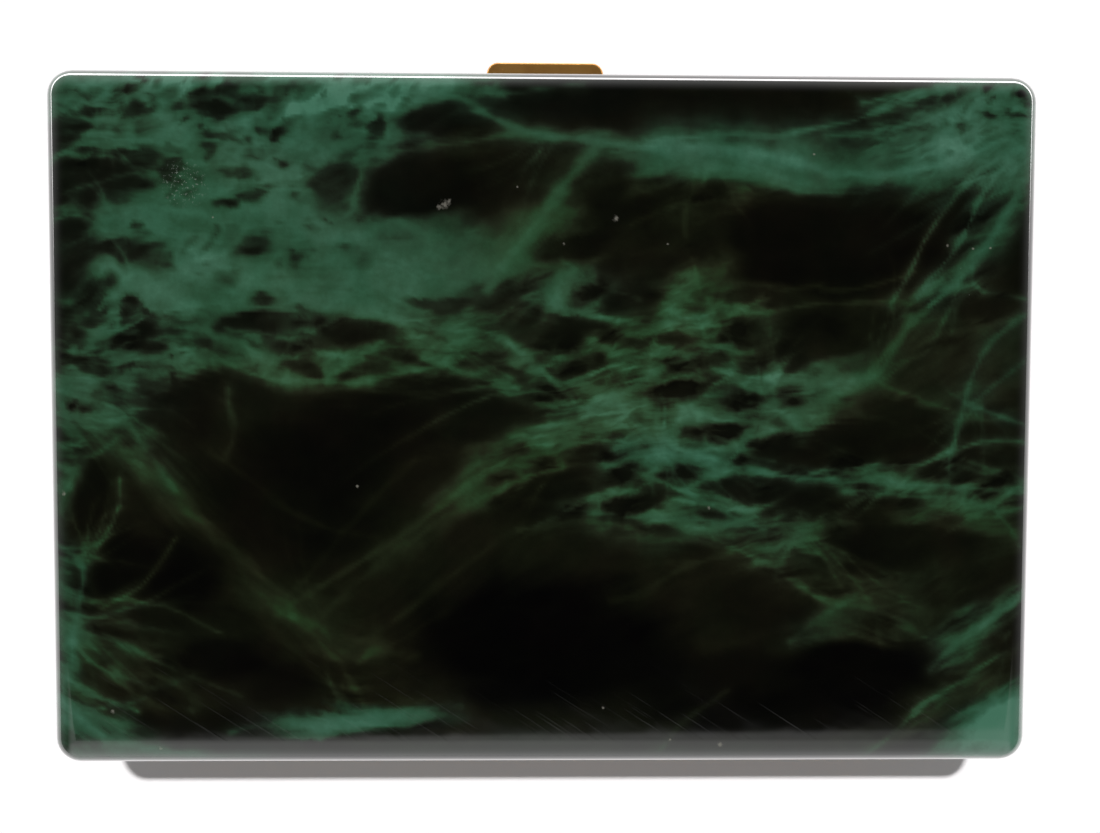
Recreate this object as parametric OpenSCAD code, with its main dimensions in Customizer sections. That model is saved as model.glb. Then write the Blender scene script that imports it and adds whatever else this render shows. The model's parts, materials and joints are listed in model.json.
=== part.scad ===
// Slim hinged pocket case: two marbled shells in brass frames, a seven-knuckle
// hinge along the back, a sprung push catch in front and a retaining arm in
// each half. The case lies on its back: X along the hinge, +Y to the catch,
// +Z through the front shell. All lengths are in millimetres.

/* [Case] */
// Width of the closed case along the hinge
case_w = 108; // [100:1:130]
// Depth of the closed case from the hinge side to the catch side
case_d = 76; // [70:1:95]
// Thickness of the closed case over both shells
case_t = 18; // [17:0.5:24]
// Corner radius of the outline seen from the front
corner_r = 3; // [3:0.1:6]
// Radius that rolls each shell's face over into its walls
edge_r = 2.9; // [1.7:0.1:2.9]
// Thickness of a shell
shell_t = 0.8; // [0.7:0.1:1]

/* [Frames and liners] */
// Thickness of the brass rim of each half
rim_t = 0.6; // [0.5:0.1:0.9]
// Thickness of the frame's skirt inside the shell
skirt_t = 0.6; // [0.5:0.1:0.8]
// Thickness of the gilt liner pan
pan_t = 0.3; // [0.2:0.05:0.4]
// Gap between the two rims when the case is shut
parting = 0.1; // [0.08:0.01:0.2]

/* [Hinge] */
// Distance from the end of the hinge barrel to the side of the case
hinge_inset = 8; // [7:0.5:20]
// Number of knuckles, shared between the halves
knuckles = 7; // [5:2:13]
// Outer radius of a knuckle
knuckle_r = 1.1; // [1:0.05:1.25]
// Radius of the hinge pin
hinge_pin_r = 0.55; // [0.4:0.05:0.65]
// Thickness of a hinge leaf
leaf_t = 0.5; // [0.4:0.05:0.6]
// Height of a hinge leaf behind its rim
leaf_h = 3; // [2:0.1:4]
// Distance of the hinge axis outside the back wall
axis_out = 0.1; // [0.05:0.05:0.2]
// Gap between neighbouring knuckles
knuckle_gap = 0.15; // [0.1:0.05:0.3]

/* [Catch] */
// Width of the thumb piece
thumb_w = 13.4; // [11:0.2:14]
// Height of the thumb piece
thumb_h = 2.4; // [2:0.1:2.8]
// How far the thumb piece stands out of the front wall
thumb_out = 3; // [2.5:0.1:4]
// Corner radius of the thumb piece
thumb_r = 1.3; // [0.6:0.1:1.8]
// Travel of the catch when it is pressed
catch_travel = 0.9; // [0.8:0.05:1]
// Grip of the catch beaks over the keeper claws
catch_grip = 0.4; // [0.3:0.05:0.5]
// Thickness of the catch bolt plate
bolt_t = 0.6; // [0.5:0.05:0.8]
// Thickness of the guide bracket's sheet
bracket_t = 0.5; // [0.4:0.05:0.6]
// Thickness of the keeper's sheet
keeper_t = 0.45; // [0.4:0.05:0.5]
// Width of one keeper claw
claw_w = 3; // [2:0.1:3.2]
// Thickness of the leaf spring behind the bolt
leaf_spring_t = 0.3; // [0.2:0.05:0.35]
// Radius of a rivet's shank
rivet_r = 0.5; // [0.4:0.05:0.6]

/* [Retaining arms] */
// Distance from a pivot lug to the side edge of the liner's flat floor
lug_inset = 0.1; // [0.1:0.1:8]
// Width of an arm's leg
arm_leg_w = 4; // [3:0.1:6]
// Distance from the arm's pivot to the far edge of its bar
arm_reach = 46; // [36:1:50]
// Width of the bar that lies over the contents
arm_bar_w = 9; // [6:0.5:14]
// Thickness of an arm's sheet
arm_t = 0.5; // [0.4:0.05:0.6]
// Outer radius of the rolled eyes on an arm
arm_eye_r = 1; // [0.9:0.05:1.2]
// Radius of the pin that an arm turns on
arm_pin_r = 0.5; // [0.4:0.05:0.6]
// Distance from a pivot lug to the back edge of the liner's flat floor
lug_back = 0.2; // [0.1:0.1:2]
// Thickness of a pivot lug
lug_t = 0.6; // [0.5:0.1:0.8]
// Wire radius of an arm's torsion spring
wire_r = 0.17; // [0.12:0.01:0.2]
// Number of turns in an arm's torsion spring
wire_turns = 5; // [3:1:6]

/* [Hidden] */
$fn = 48;
LEFT = -1;
RIGHT = 1;
BRASS = "goldenrod";
GILT = "gold";
STEEL = "silver";
MARBLE = "darkslategray";

// clearances
press_fit = 0.01; // pins that stay put in their holes
run_fit = 0.03; // pins that turn in their holes
slide_gap = 0.15; // pieces that slide or swing past each other
seat_gap = 0.03; // springs against what they press on
nest_gap = 0.02; // skirt inside the shell, liner inside the skirt
cut = 1; // how far a cutting body runs past what it cuts

// heights in the base half, which the lid half mirrors
mid_z = case_t / 2;
rim_top = mid_z - parting / 2;
rim_z = rim_top - rim_t;
cavity_edge = edge_r - shell_t;
skirt_z = edge_r;
floor_z = shell_t + pan_t;

// places across the case
back_y = -case_d / 2;
front_y = case_d / 2;
cavity_r = corner_r - shell_t;
skirt_out = shell_t + nest_gap;
skirt_in = skirt_out + skirt_t;
pan_out = skirt_in + nest_gap;
pan_w = case_w - 2 * pan_out;
pan_back_y = back_y + pan_out + leaf_t;
pan_d = front_y - pan_out - pan_back_y;
pan_y = pan_back_y + pan_d / 2;
pan_edge = edge_r - pan_out;
pan_r = corner_r - pan_out;
pan_in_edge = pan_edge - pan_t;
pan_in_r = pan_r - pan_t;
liner_in_y = front_y - pan_out - pan_t;

// edges of the liner's flat floor
floor_x = pan_w / 2 - pan_t - pan_in_edge;
floor_back_y = pan_back_y + pan_t + pan_in_edge;

// hinge
hinge_l = case_w - 2 * hinge_inset;
axis_y = back_y - axis_out;
channel_r = knuckle_r + slide_gap;
pitch = hinge_l / knuckles;
leaf_back = back_y + skirt_in;
leaf_front = leaf_back + leaf_t;

// catch: the bolt slides in the bracket, its beaks over the keeper's claws
claw_play = 0.2; // between the claws and the skirt in front of them
lip_reach = 0.5; // of a claw's lip behind the claw
lip_t = 0.6;
lip_drop = 2.2; // of the lip's top below the parting plane
bolt_play = 0.45; // between the lips and the bolt plate
bolt_drop = 3.6; // of the bolt's foot below the parting plane
bolt_w = 22;
plate_drop = 0.75; // of the bolt's and the bracket's tops below the rim
riser_inset = 0.3; // of the bolt's riser inside the thumb piece
claw_inset = 0.9; // from the thumb piece to a claw
ear = 1.6;
ear_h = 1.2;
ear_drop = 3; // of the ears' foot below the parting plane
spring_room = 2.7;
spring_h = 2.2;
flange_w = 4;
rivet_drop = 3.8; // of the bracket's rivets below the parting plane
keeper_side = 4.9; // of the keeper's strip beyond the thumb piece
keeper_h = 2.2;
keeper_rise = 0.3; // of the keeper above the thumb piece
rivet_edge = 1.8; // from a rivet to the end of the keeper
rivet_head_t = 0.3;
rivet_tip = 0.05; // between a rivet's end and the shell
claw_y = front_y - skirt_in - claw_play;
claw_back = claw_y - keeper_t;
lip_back = claw_back - lip_reach;
lip_top = mid_z - lip_drop;
beak_y = lip_back + catch_grip;
bolt_front = lip_back - bolt_play;
bolt_back = bolt_front - bolt_t;
bolt_z = mid_z - bolt_drop;
bolt_top = rim_top - plate_drop;
riser_w = thumb_w - 2 * riser_inset;
claw_x = thumb_w / 2 + claw_inset;
ear_z = mid_z - ear_drop;
bracket_w = bolt_w + 2 * slide_gap + 2 * bracket_t;
bracket_front = bolt_back - spring_room;
bracket_z = floor_z + pan_in_edge + slide_gap;
bracket_top = rim_top - plate_drop;
bracket_rivet_x = bracket_w / 2 + flange_w / 2;
bracket_rivet_z = mid_z - rivet_drop;
keeper_w = thumb_w + 2 * keeper_side;
keeper_z = mid_z - thumb_h / 2 - keeper_rise;
keeper_rivet_x = keeper_w / 2 - rivet_edge;
base_window_w = bolt_w + 2 * slide_gap;
lid_window_w = keeper_w + 2 * slide_gap;
lid_window_z = keeper_z - keeper_h - slide_gap;
rivet_head_r = 1.8 * rivet_r;
rivet_end_y = front_y - shell_t - rivet_tip;

// retaining arm and its pivot
arm_gap = 0.3; // below the rim's top
eye_gap = 0.2; // between an eye and its lug
lug_r = 1.2;
foot_l = 3;
foot_t = 0.5;
pin_head_t = 0.3;
bar_r = 2;
coil_gap = 0.2; // between the pin and the coil, and between the coil and the leg
hook_reach = 8;
pad_d = 2;
lug_x = floor_x - lug_inset - lug_t;
arm_w = 2 * (lug_x - eye_gap);
leg_x = arm_w / 2 - arm_leg_w;
pivot_y = floor_back_y + lug_back + lug_r;
arm_top = rim_top - arm_gap;
pivot_z = arm_top - arm_eye_r;
coil_r = arm_pin_r + wire_r + coil_gap;
coil_pitch = 2.35 * wire_r;
coil_x = leg_x - coil_gap - wire_r;
coil_steps = 14;
wire_sides = 6;
wire_end_x = coil_x - coil_pitch * wire_turns;
pad_w = leg_x - wire_end_x + wire_r;

// The whole case stands centred on its footprint, catch and hinge included.
foot_shift = (knuckle_r + axis_out - thumb_out) / 2;

module placed() { translate([0, foot_shift, 0]) children(); }
module lid_half() { translate([0, 0, case_t]) mirror([0, 0, 1]) children(); }
module along_x(from_x, length) { translate([from_x, 0, 0]) rotate([90, 0, 90]) linear_extrude(length) children(); }

module round_rect(w, d, r) {
    square([w - 2 * r, d], center = true);
    square([w, d - 2 * r], center = true);
    for (sx = [-1, 1], sy = [-1, 1])
        translate([sx * (w / 2 - r), sy * (d / 2 - r)]) circle(r);
}

// Section of an edge: square inside, rolled over at its foot with radius b
edge_steps = 9;
module edge_section(r, h, b) {
    roll = [for (i = [1 : edge_steps - 1]) let (a = 90 * i / edge_steps)
        [r - b + b * sin(a), b - b * cos(a)]];
    polygon(concat([[0, 0], [r - b, 0]], roll, [[r, b], [r, h], [0, h]]));
}

// A rounded slab whose lower edge is rolled over with radius b
module soft_slab(w, d, r, h, b) {
    side_x = w / 2 - r;
    side_y = d / 2 - r;
    translate([-side_x, -side_y, 0]) cube([2 * side_x, 2 * side_y, h]);
    for (turn = [0, 180]) rotate(turn) {
        translate([side_x, side_y, 0]) rotate_extrude(angle = 90) edge_section(r, h, b);
        translate([-side_x, side_y, 0]) rotate([0, 0, 90]) rotate_extrude(angle = 90) edge_section(r, h, b);
        translate([side_x, side_y, 0]) rotate([90, 0, 0]) linear_extrude(2 * side_y) edge_section(r, h, b);
        translate([-side_x, side_y, 0]) rotate([90, 0, 90]) linear_extrude(2 * side_x) edge_section(r, h, b);
    }
}

// Room for the hinge barrel in the back wall
module hinge_channel() {
    along_x(-hinge_l / 2 - slide_gap, hinge_l + 2 * slide_gap) translate([axis_y, mid_z]) circle(channel_r);
}

// Room for the thumb piece in the front wall
module thumb_notch() {
    notch_w = thumb_w + 2 * slide_gap;
    notch_h = thumb_h + 2 * slide_gap;
    translate([-notch_w / 2, liner_in_y - cut, mid_z - notch_h / 2]) cube([notch_w, skirt_in + pan_t + 2 * cut, notch_h]);
}

// Room for the keeper and its claws in the liner and the rim's inner lip
module catch_window(window_w, window_z) {
    translate([-window_w / 2, liner_in_y - cut, window_z])
        cube([window_w, front_y - skirt_in - liner_in_y + cut, rim_top + cut - window_z]);
}

module shell_half() {
    difference() {
        soft_slab(case_w, case_d, corner_r, rim_z, edge_r);
        translate([0, 0, shell_t])
            soft_slab(case_w - 2 * shell_t, case_d - 2 * shell_t, cavity_r, rim_z, cavity_edge);
        hinge_channel();
        thumb_notch();
    }
}

module rivet_hole(x, z) {
    translate([x, liner_in_y - cut, z]) rotate([-90, 0, 0])
        cylinder(r = rivet_r + press_fit, h = rivet_end_y + cut - liner_in_y);
}

// Brass frame: a flat rim over the shell's edge and a skirt inside its wall
module frame_half(rivet_x, rivet_z, window_w, window_z) {
    difference() {
        union() {
            translate([0, 0, rim_z]) linear_extrude(rim_t) round_rect(case_w, case_d, corner_r);
            translate([0, 0, skirt_z]) linear_extrude(rim_z - skirt_z)
                round_rect(case_w - 2 * skirt_out, case_d - 2 * skirt_out, cavity_r - nest_gap);
        }
        translate([0, 0, skirt_z - cut]) linear_extrude(rim_z - skirt_z + cut)
            round_rect(case_w - 2 * skirt_in, case_d - 2 * skirt_in, cavity_r - nest_gap - skirt_t);
        translate([0, pan_y, rim_z - cut]) linear_extrude(rim_t + 2 * cut)
            round_rect(pan_w - 2 * pan_t, pan_d - 2 * pan_t, pan_in_r);
        translate([-hinge_l / 2 - slide_gap, back_y - cut, rim_z])
            cube([hinge_l + 2 * slide_gap, leaf_front - back_y + cut, rim_t + cut]);
        hinge_channel();
        thumb_notch();
        catch_window(window_w, window_z);
        for (sx = [LEFT, RIGHT]) rivet_hole(sx * rivet_x, rivet_z);
    }
}

// Gilt liner: a thin drawn tray that lies on the shell inside the frame
module pan_half() {
    translate([0, pan_y, 0]) difference() {
        translate([0, 0, shell_t]) soft_slab(pan_w, pan_d, pan_r, rim_z - shell_t, pan_edge);
        translate([0, 0, floor_z])
            soft_slab(pan_w - 2 * pan_t, pan_d - 2 * pan_t, pan_in_r, rim_z, pan_in_edge);
    }
}

// Hinge leaf with the knuckles of one half: first is its first knuckle's number
module hinge_half(first, fit) {
    difference() {
        union() {
            translate([-hinge_l / 2, leaf_back, rim_z - leaf_h]) cube([hinge_l, leaf_t, leaf_h + rim_t]);
            translate([-hinge_l / 2, axis_y + channel_r, rim_z])
                cube([hinge_l, leaf_front - axis_y - channel_r, rim_t]);
            for (i = [first : 2 : knuckles - 1]) {
                from_x = -hinge_l / 2 + i * pitch + knuckle_gap / 2;
                along_x(from_x, pitch - knuckle_gap) {
                    translate([axis_y, mid_z]) circle(knuckle_r);
                    translate([axis_y, rim_z]) square([leaf_front - axis_y, rim_t]);
                }
            }
        }
        along_x(-hinge_l / 2 - cut, hinge_l + 2 * cut) translate([axis_y, mid_z]) circle(hinge_pin_r + fit);
    }
}

// Rivet from the inside through the skirt, with its head on sheet face_y
module wall_rivet(x, z, face_y) {
    translate([x, face_y - rivet_head_t, z]) rotate([-90, 0, 0]) cylinder(r = rivet_head_r, h = rivet_head_t);
    translate([x, face_y - rivet_head_t, z]) rotate([-90, 0, 0])
        cylinder(r = rivet_r, h = rivet_end_y - face_y + rivet_head_t);
}

// Pivot lug: an upright ear with a foot on the liner
module pivot_lug(side) {
    ear_x = side > 0 ? lug_x : -lug_x - lug_t;
    foot_x = side > 0 ? lug_x - foot_l : -lug_x;
    difference() {
        union() {
            along_x(ear_x, lug_t) {
                translate([pivot_y - lug_r, floor_z]) square([2 * lug_r, pivot_z - floor_z]);
                translate([pivot_y, pivot_z]) circle(lug_r);
            }
            translate([foot_x, pivot_y - lug_r, floor_z]) cube([foot_l, 2 * lug_r, foot_t]);
        }
        along_x(ear_x - cut, lug_t + 2 * cut) translate([pivot_y, pivot_z]) circle(arm_pin_r + press_fit);
    }
}

module arm_pin_half() {
    along_x(-lug_x - lug_t, 2 * (lug_x + lug_t)) translate([pivot_y, pivot_z]) circle(arm_pin_r);
    for (x = [-lug_x - lug_t - pin_head_t, lug_x + lug_t])
        along_x(x, pin_head_t) translate([pivot_y, pivot_z]) circle(1.5 * arm_pin_r);
}

// Retaining arm: a bar on two legs, each with an eye rolled round the pin
module arm_half() {
    bar_y = pivot_y + arm_reach - arm_bar_w;
    difference() {
        union() {
            translate([0, 0, arm_top - arm_t]) linear_extrude(arm_t) {
                for (x = [-arm_w / 2, leg_x])
                    translate([x, pivot_y]) square([arm_leg_w, arm_reach - arm_bar_w / 2]);
                translate([0, bar_y + arm_bar_w / 2]) round_rect(arm_w, arm_bar_w, bar_r);
                translate([-leg_x, pivot_y + hook_reach - 2 * wire_r]) square([pad_w, pad_d]);
            }
            for (x = [-arm_w / 2, leg_x])
                along_x(x, arm_leg_w) translate([pivot_y, pivot_z]) circle(arm_eye_r);
        }
        along_x(-arm_w / 2 - cut, arm_w + 2 * cut) translate([pivot_y, pivot_z]) circle(arm_pin_r + run_fit);
    }
}

// One ring of the torsion spring's wire after step i of coil_steps a turn
function wire_ring(i) = let (turn = 360 * i / coil_steps, x = -coil_x + coil_pitch * i / coil_steps)
    [for (k = [0 : wire_sides - 1]) let (b = 360 * k / wire_sides, r = coil_r + wire_r * cos(b))
        [x + wire_r * sin(b), pivot_y - r * sin(turn), pivot_z + r * cos(turn)]];

module wire(from, to) {
    run = to - from;
    translate(from) rotate([0, acos(run.z / norm(run)), atan2(run.y, run.x)])
        cylinder(r = wire_r, h = norm(run), $fn = 13);
}

// Torsion spring: a close coil on the pin, one end on the back of the liner
// and the other under the pad on the arm
module arm_spring_half() {
    rings = coil_steps * wire_turns;
    points = [for (i = [0 : rings]) each wire_ring(i)];
    sides = [for (i = [0 : rings - 1], k = [0 : wire_sides - 1])
        let (a = i * wire_sides + k, b = i * wire_sides + (k + 1) % wire_sides)
        [a, b, b + wire_sides, a + wire_sides]];
    last = rings * wire_sides;
    caps = [[for (k = [wire_sides - 1 : -1 : 0]) k], [for (k = [0 : wire_sides - 1]) last + k]];
    polyhedron(points, concat(sides, caps));
    under_arm = arm_top - arm_t - wire_r - seat_gap;
    wall_y = pan_back_y + pan_t + wire_r + seat_gap;
    wire([-coil_x, pivot_y, pivot_z + coil_r], [-coil_x, wall_y, pivot_z + coil_r - 1]);
    wire([-wire_end_x, pivot_y, pivot_z + coil_r], [-wire_end_x, pivot_y + hook_reach, under_arm]);
}

module back_shell() { color(MARBLE) placed() shell_half(); }
module front_shell() { color(MARBLE) placed() lid_half() shell_half(); }

module base_frame() { color(BRASS) placed() frame_half(bracket_rivet_x, bracket_rivet_z, base_window_w, bolt_z); }
module lid_frame() {
    color(BRASS) placed() lid_half()
        frame_half(keeper_rivet_x, keeper_z - keeper_h / 2, lid_window_w, lid_window_z);
}

module base_pan() {
    color(GILT) placed() difference() {
        pan_half();
        catch_window(base_window_w, bolt_z);
        for (sx = [LEFT, RIGHT]) rivet_hole(sx * bracket_rivet_x, bracket_rivet_z);
    }
}

module lid_pan() {
    color(GILT) placed() lid_half() difference() {
        pan_half();
        catch_window(lid_window_w, lid_window_z);
    }
}

module base_hinge_leaf() { color(BRASS) placed() hinge_half(0, press_fit); }
module lid_hinge_leaf() { color(BRASS) placed() lid_half() hinge_half(1, run_fit); }

module hinge_pin() {
    color(STEEL) placed() along_x(-hinge_l / 2, hinge_l) translate([axis_y, mid_z]) circle(hinge_pin_r);
}

// Hat-section guide for the bolt, riveted to the front wall by its flanges
module catch_bracket() {
    slot_z = ear_z - slide_gap / 2;
    slot_y = bolt_back - catch_travel - slide_gap;
    color(BRASS) placed() difference() {
        translate([0, 0, bracket_z]) linear_extrude(bracket_top - bracket_z) {
            translate([-bracket_w / 2, bracket_front - bracket_t]) square([bracket_w, bracket_t]);
            for (x = [-bracket_w / 2, bracket_w / 2 - bracket_t])
                translate([x, bracket_front - bracket_t])
                    square([bracket_t, liner_in_y - bracket_front + bracket_t]);
            for (x = [-bracket_w / 2 - flange_w, bracket_w / 2 - bracket_t])
                translate([x, liner_in_y - bracket_t]) square([flange_w + bracket_t, bracket_t]);
        }
        translate([-bracket_w / 2 - cut, slot_y, slot_z])
            cube([bracket_w + 2 * cut, bolt_front + slide_gap / 2 - slot_y, ear_h + slide_gap]);
        for (sx = [LEFT, RIGHT]) rivet_hole(sx * bracket_rivet_x, bracket_rivet_z);
    }
}

module bracket_rivet(side) {
    color(BRASS) placed() wall_rivet(side * bracket_rivet_x, bracket_rivet_z, liner_in_y - bracket_t);
}
module bracket_rivet_left() { bracket_rivet(LEFT); }
module bracket_rivet_right() { bracket_rivet(RIGHT); }

// Bowed leaf spring between the bracket's back and the bolt
module catch_spring() {
    half_turn = 38;
    bow_r = (spring_room - 2 * seat_gap - leaf_spring_t * cos(half_turn)) / (1 - cos(half_turn));
    color(STEEL) placed() translate([0, bolt_back - seat_gap - bow_r, ear_z + ear_h / 2 - spring_h / 2])
        rotate(90 - half_turn) rotate_extrude(angle = 2 * half_turn)
            translate([bow_r - leaf_spring_t, 0]) square([leaf_spring_t, spring_h]);
}

// Sliding plate with two beaks that hook over the keeper's claws
module catch_bolt() {
    nose = beak_y - bolt_front;
    nose_t = 0.3;
    beak_z = lip_top + seat_gap;
    beak_side = 0.2;
    color(BRASS) placed() {
        translate([-bolt_w / 2, bolt_back, bolt_z]) cube([bolt_w, bolt_t, bolt_top - bolt_z]);
        translate([-riser_w / 2, bolt_back, bolt_z]) cube([riser_w, bolt_t, mid_z + thumb_h / 2 - bolt_z]);
        translate([-bolt_w / 2 - ear, bolt_back, ear_z]) cube([bolt_w + 2 * ear, bolt_t, ear_h]);
        for (x = [claw_x, -claw_x - claw_w])
            along_x(x + beak_side, claw_w - 2 * beak_side) translate([bolt_front, beak_z])
                polygon([[0, 0], [nose, 0], [nose, nose_t], [0, nose_t + nose * 0.8]]);
    }
}

// Push piece through the front wall, fast on the bolt
module thumb_piece() {
    length = front_y + thumb_out - bolt_front;
    color(BRASS) placed() translate([0, front_y + thumb_out - length / 2, mid_z - thumb_h / 2])
        linear_extrude(thumb_h) {
            round_rect(thumb_w, length, thumb_r);
            translate([-riser_w / 2, -length / 2]) square([riser_w, thumb_r]);
        }
}

// Keeper in the lid: a strip riveted to the wall with two claws that hang into
// the base. It is drawn in the base half's heights and mirrored with the lid.
module keeper() {
    claw_end = 2 * mid_z - lip_top + lip_t;
    strip_y = front_y - skirt_in - keeper_t;
    color(STEEL) placed() lid_half() difference() {
        union() {
            translate([-keeper_w / 2, strip_y, keeper_z - keeper_h]) cube([keeper_w, keeper_t, keeper_h]);
            for (x = [claw_x, -claw_x - claw_w]) along_x(x, claw_w) {
                translate([claw_back, keeper_z - keeper_h]) square([keeper_t, claw_end - keeper_z + keeper_h]);
                polygon([[claw_back, claw_end - lip_t], [lip_back, claw_end - lip_t],
                    [lip_back, claw_end - lip_t / 2], [claw_back, claw_end]]);
            }
        }
        for (sx = [LEFT, RIGHT]) rivet_hole(sx * keeper_rivet_x, keeper_z - keeper_h / 2);
    }
}

module keeper_rivet(side) {
    color(BRASS) placed() lid_half()
        wall_rivet(side * keeper_rivet_x, keeper_z - keeper_h / 2, claw_back);
}
module keeper_rivet_left() { keeper_rivet(LEFT); }
module keeper_rivet_right() { keeper_rivet(RIGHT); }

module base_lug_left() { color(BRASS) placed() pivot_lug(LEFT); }
module base_lug_right() { color(BRASS) placed() pivot_lug(RIGHT); }
module lid_lug_left() { color(BRASS) placed() lid_half() pivot_lug(LEFT); }
module lid_lug_right() { color(BRASS) placed() lid_half() pivot_lug(RIGHT); }

module base_arm_pin() { color(STEEL) placed() arm_pin_half(); }
module lid_arm_pin() { color(STEEL) placed() lid_half() arm_pin_half(); }

module base_arm_spring() { color(STEEL) placed() arm_spring_half(); }
module lid_arm_spring() { color(STEEL) placed() lid_half() arm_spring_half(); }

module base_arm() { color(GILT) placed() arm_half(); }
module lid_arm() { color(GILT) placed() lid_half() arm_half(); }

back_shell();
base_frame();
base_pan();
base_hinge_leaf();
hinge_pin();
catch_bracket();
bracket_rivet_left();
bracket_rivet_right();
catch_spring();
base_lug_left();
base_lug_right();
base_arm_pin();
base_arm_spring();
front_shell();
lid_frame();
lid_pan();
lid_hinge_leaf();
keeper();
keeper_rivet_left();
keeper_rivet_right();
lid_lug_left();
lid_lug_right();
lid_arm_pin();
lid_arm_spring();
thumb_piece();
catch_bolt();
base_arm();
lid_arm();
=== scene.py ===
"""Dresses a slim hinged pocket case: marbled shells, brass frames, gilt liners and a push catch.

The case lies on its back. X runs along the hinge, +Y to the catch and +Z through the front shell.
"""

import json
import logging
import math
from collections.abc import Callable, Iterator, Sequence
from contextlib import contextmanager
from dataclasses import dataclass, field, replace
from enum import Enum
from itertools import chain

import bmesh
import bpy
import numpy as np
from mathutils import Matrix, Vector


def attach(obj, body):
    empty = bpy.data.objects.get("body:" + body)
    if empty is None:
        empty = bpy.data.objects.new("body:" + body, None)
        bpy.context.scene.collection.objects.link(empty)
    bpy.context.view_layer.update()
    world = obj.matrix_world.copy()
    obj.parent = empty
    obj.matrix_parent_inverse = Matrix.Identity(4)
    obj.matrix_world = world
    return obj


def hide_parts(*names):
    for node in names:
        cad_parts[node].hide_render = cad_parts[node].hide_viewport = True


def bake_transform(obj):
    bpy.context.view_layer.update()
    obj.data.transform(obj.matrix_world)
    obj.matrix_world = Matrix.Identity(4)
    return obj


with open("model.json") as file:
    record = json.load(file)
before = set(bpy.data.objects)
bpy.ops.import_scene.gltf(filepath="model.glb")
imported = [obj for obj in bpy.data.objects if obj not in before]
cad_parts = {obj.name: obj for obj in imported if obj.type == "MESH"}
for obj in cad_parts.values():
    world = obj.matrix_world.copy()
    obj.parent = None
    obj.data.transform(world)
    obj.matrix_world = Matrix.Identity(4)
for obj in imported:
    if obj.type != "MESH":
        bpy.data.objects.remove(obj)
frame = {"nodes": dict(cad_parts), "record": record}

MM = 0.001
MERGE_GAP = 0.002 * MM
FLAT = math.radians(1)
SHARP = math.radians(40)
OUTSIDE = 0
LOG = logging.getLogger("pocket_case")
Point = tuple[float, float]
Place = tuple[float, float, float]
Colour = tuple[float, float, float, float]


class Part(Enum):
    """What is picked on a mesh in edit mode."""

    EDGES = "EDGE"
    FACES = "FACE"


class Half(Enum):
    """The two halves of the case, with the sign of the way that each one's face looks."""

    BASE = -1
    LID = 1


class Body(Enum):
    """The moving bodies that the pieces ride on."""

    BASE = "base"
    LID = "lid"
    CATCH = "catch"
    BASE_ARM = "base_arm"
    LID_ARM = "lid_arm"


class Finish(Enum):
    """The record's finishes."""

    MARBLE = "marbled_lacquer"
    BRASS = "polished_brass"
    GILT = "gilt_liner"
    STEEL = "spring_steel"


# ---------------------------------------------------------------- modelling


def clear_selection() -> None:
    """Leaves edit mode and deselects every object."""
    if bpy.context.mode != "OBJECT":
        bpy.ops.object.mode_set(mode="OBJECT")
    bpy.ops.object.select_all(action="DESELECT")


def take(piece: bpy.types.Object) -> None:
    """Makes one piece the selected and active object.

    Args:
        piece: The object to work on.
    """
    clear_selection()
    piece.select_set(True)
    bpy.context.view_layer.objects.active = piece


@contextmanager
def editing(piece: bpy.types.Object) -> Iterator[None]:
    """Holds a piece in edit mode for the length of a with block.

    Args:
        piece: The mesh object to edit.

    Returns:
        The block's context, which gives nothing.
    """
    take(piece)
    bpy.ops.object.mode_set(mode="EDIT")
    yield
    bpy.ops.object.mode_set(mode="OBJECT")


def pick(piece: bpy.types.Object, part: Part, wanted: Callable[[object], bool]) -> None:
    """Selects the edges or faces that pass a test, in edit mode.

    Args:
        piece: The mesh object in edit mode.
        part: The kind of part to select.
        wanted: The test that a part has to pass.
    """
    bpy.ops.mesh.select_mode(type=part.value)
    bpy.ops.mesh.select_all(action="DESELECT")
    mesh = bmesh.from_edit_mesh(piece.data)
    for item in mesh.edges if part is Part.EDGES else mesh.faces:
        if wanted(item):
            item.select_set(True)
    mesh.select_flush_mode()
    bmesh.update_edit_mesh(piece.data)


def block(name: str, low: Place, high: Place) -> bpy.types.Object:
    """Adds a cube primitive between two corners given in millimetres.

    Args:
        name: The piece's name.
        low: Its lowest corner.
        high: Its highest corner.

    Returns:
        The new mesh object, with its place in its mesh.
    """
    clear_selection()
    centre = [(a + b) / 2 * MM for a, b in zip(low, high)]
    size = [(b - a) * MM for a, b in zip(low, high)]
    bpy.ops.mesh.primitive_cube_add(size=1, location=centre, scale=size)
    return settle(bpy.context.active_object, name)


def rod(name: str, start: Place, end: Place, radius: float, sides: int) -> bpy.types.Object:
    """Adds a cylinder primitive between two points given in millimetres.

    Args:
        name: The piece's name.
        start: The middle of one end.
        end: The middle of the other end.
        radius: Its radius.
        sides: How many sides it has.

    Returns:
        The new mesh object, with its place in its mesh.
    """
    clear_selection()
    a, b = Vector(start) * MM, Vector(end) * MM
    bpy.ops.mesh.primitive_cylinder_add(
        vertices=sides,
        radius=radius * MM,
        depth=(b - a).length,
        location=(a + b) / 2,
        rotation=(b - a).to_track_quat("Z", "Y").to_euler(),
    )
    return settle(bpy.context.active_object, name)


def settle(piece: bpy.types.Object, name: str) -> bpy.types.Object:
    """Names a piece and moves its object's place, turn and scale into its mesh.

    Args:
        piece: The mesh object.
        name: The name that it gets.

    Returns:
        The same object.
    """
    take(piece)
    piece.name = name
    piece.data.name = name
    bpy.ops.object.transform_apply(location=True, rotation=True, scale=True)
    return piece


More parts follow.
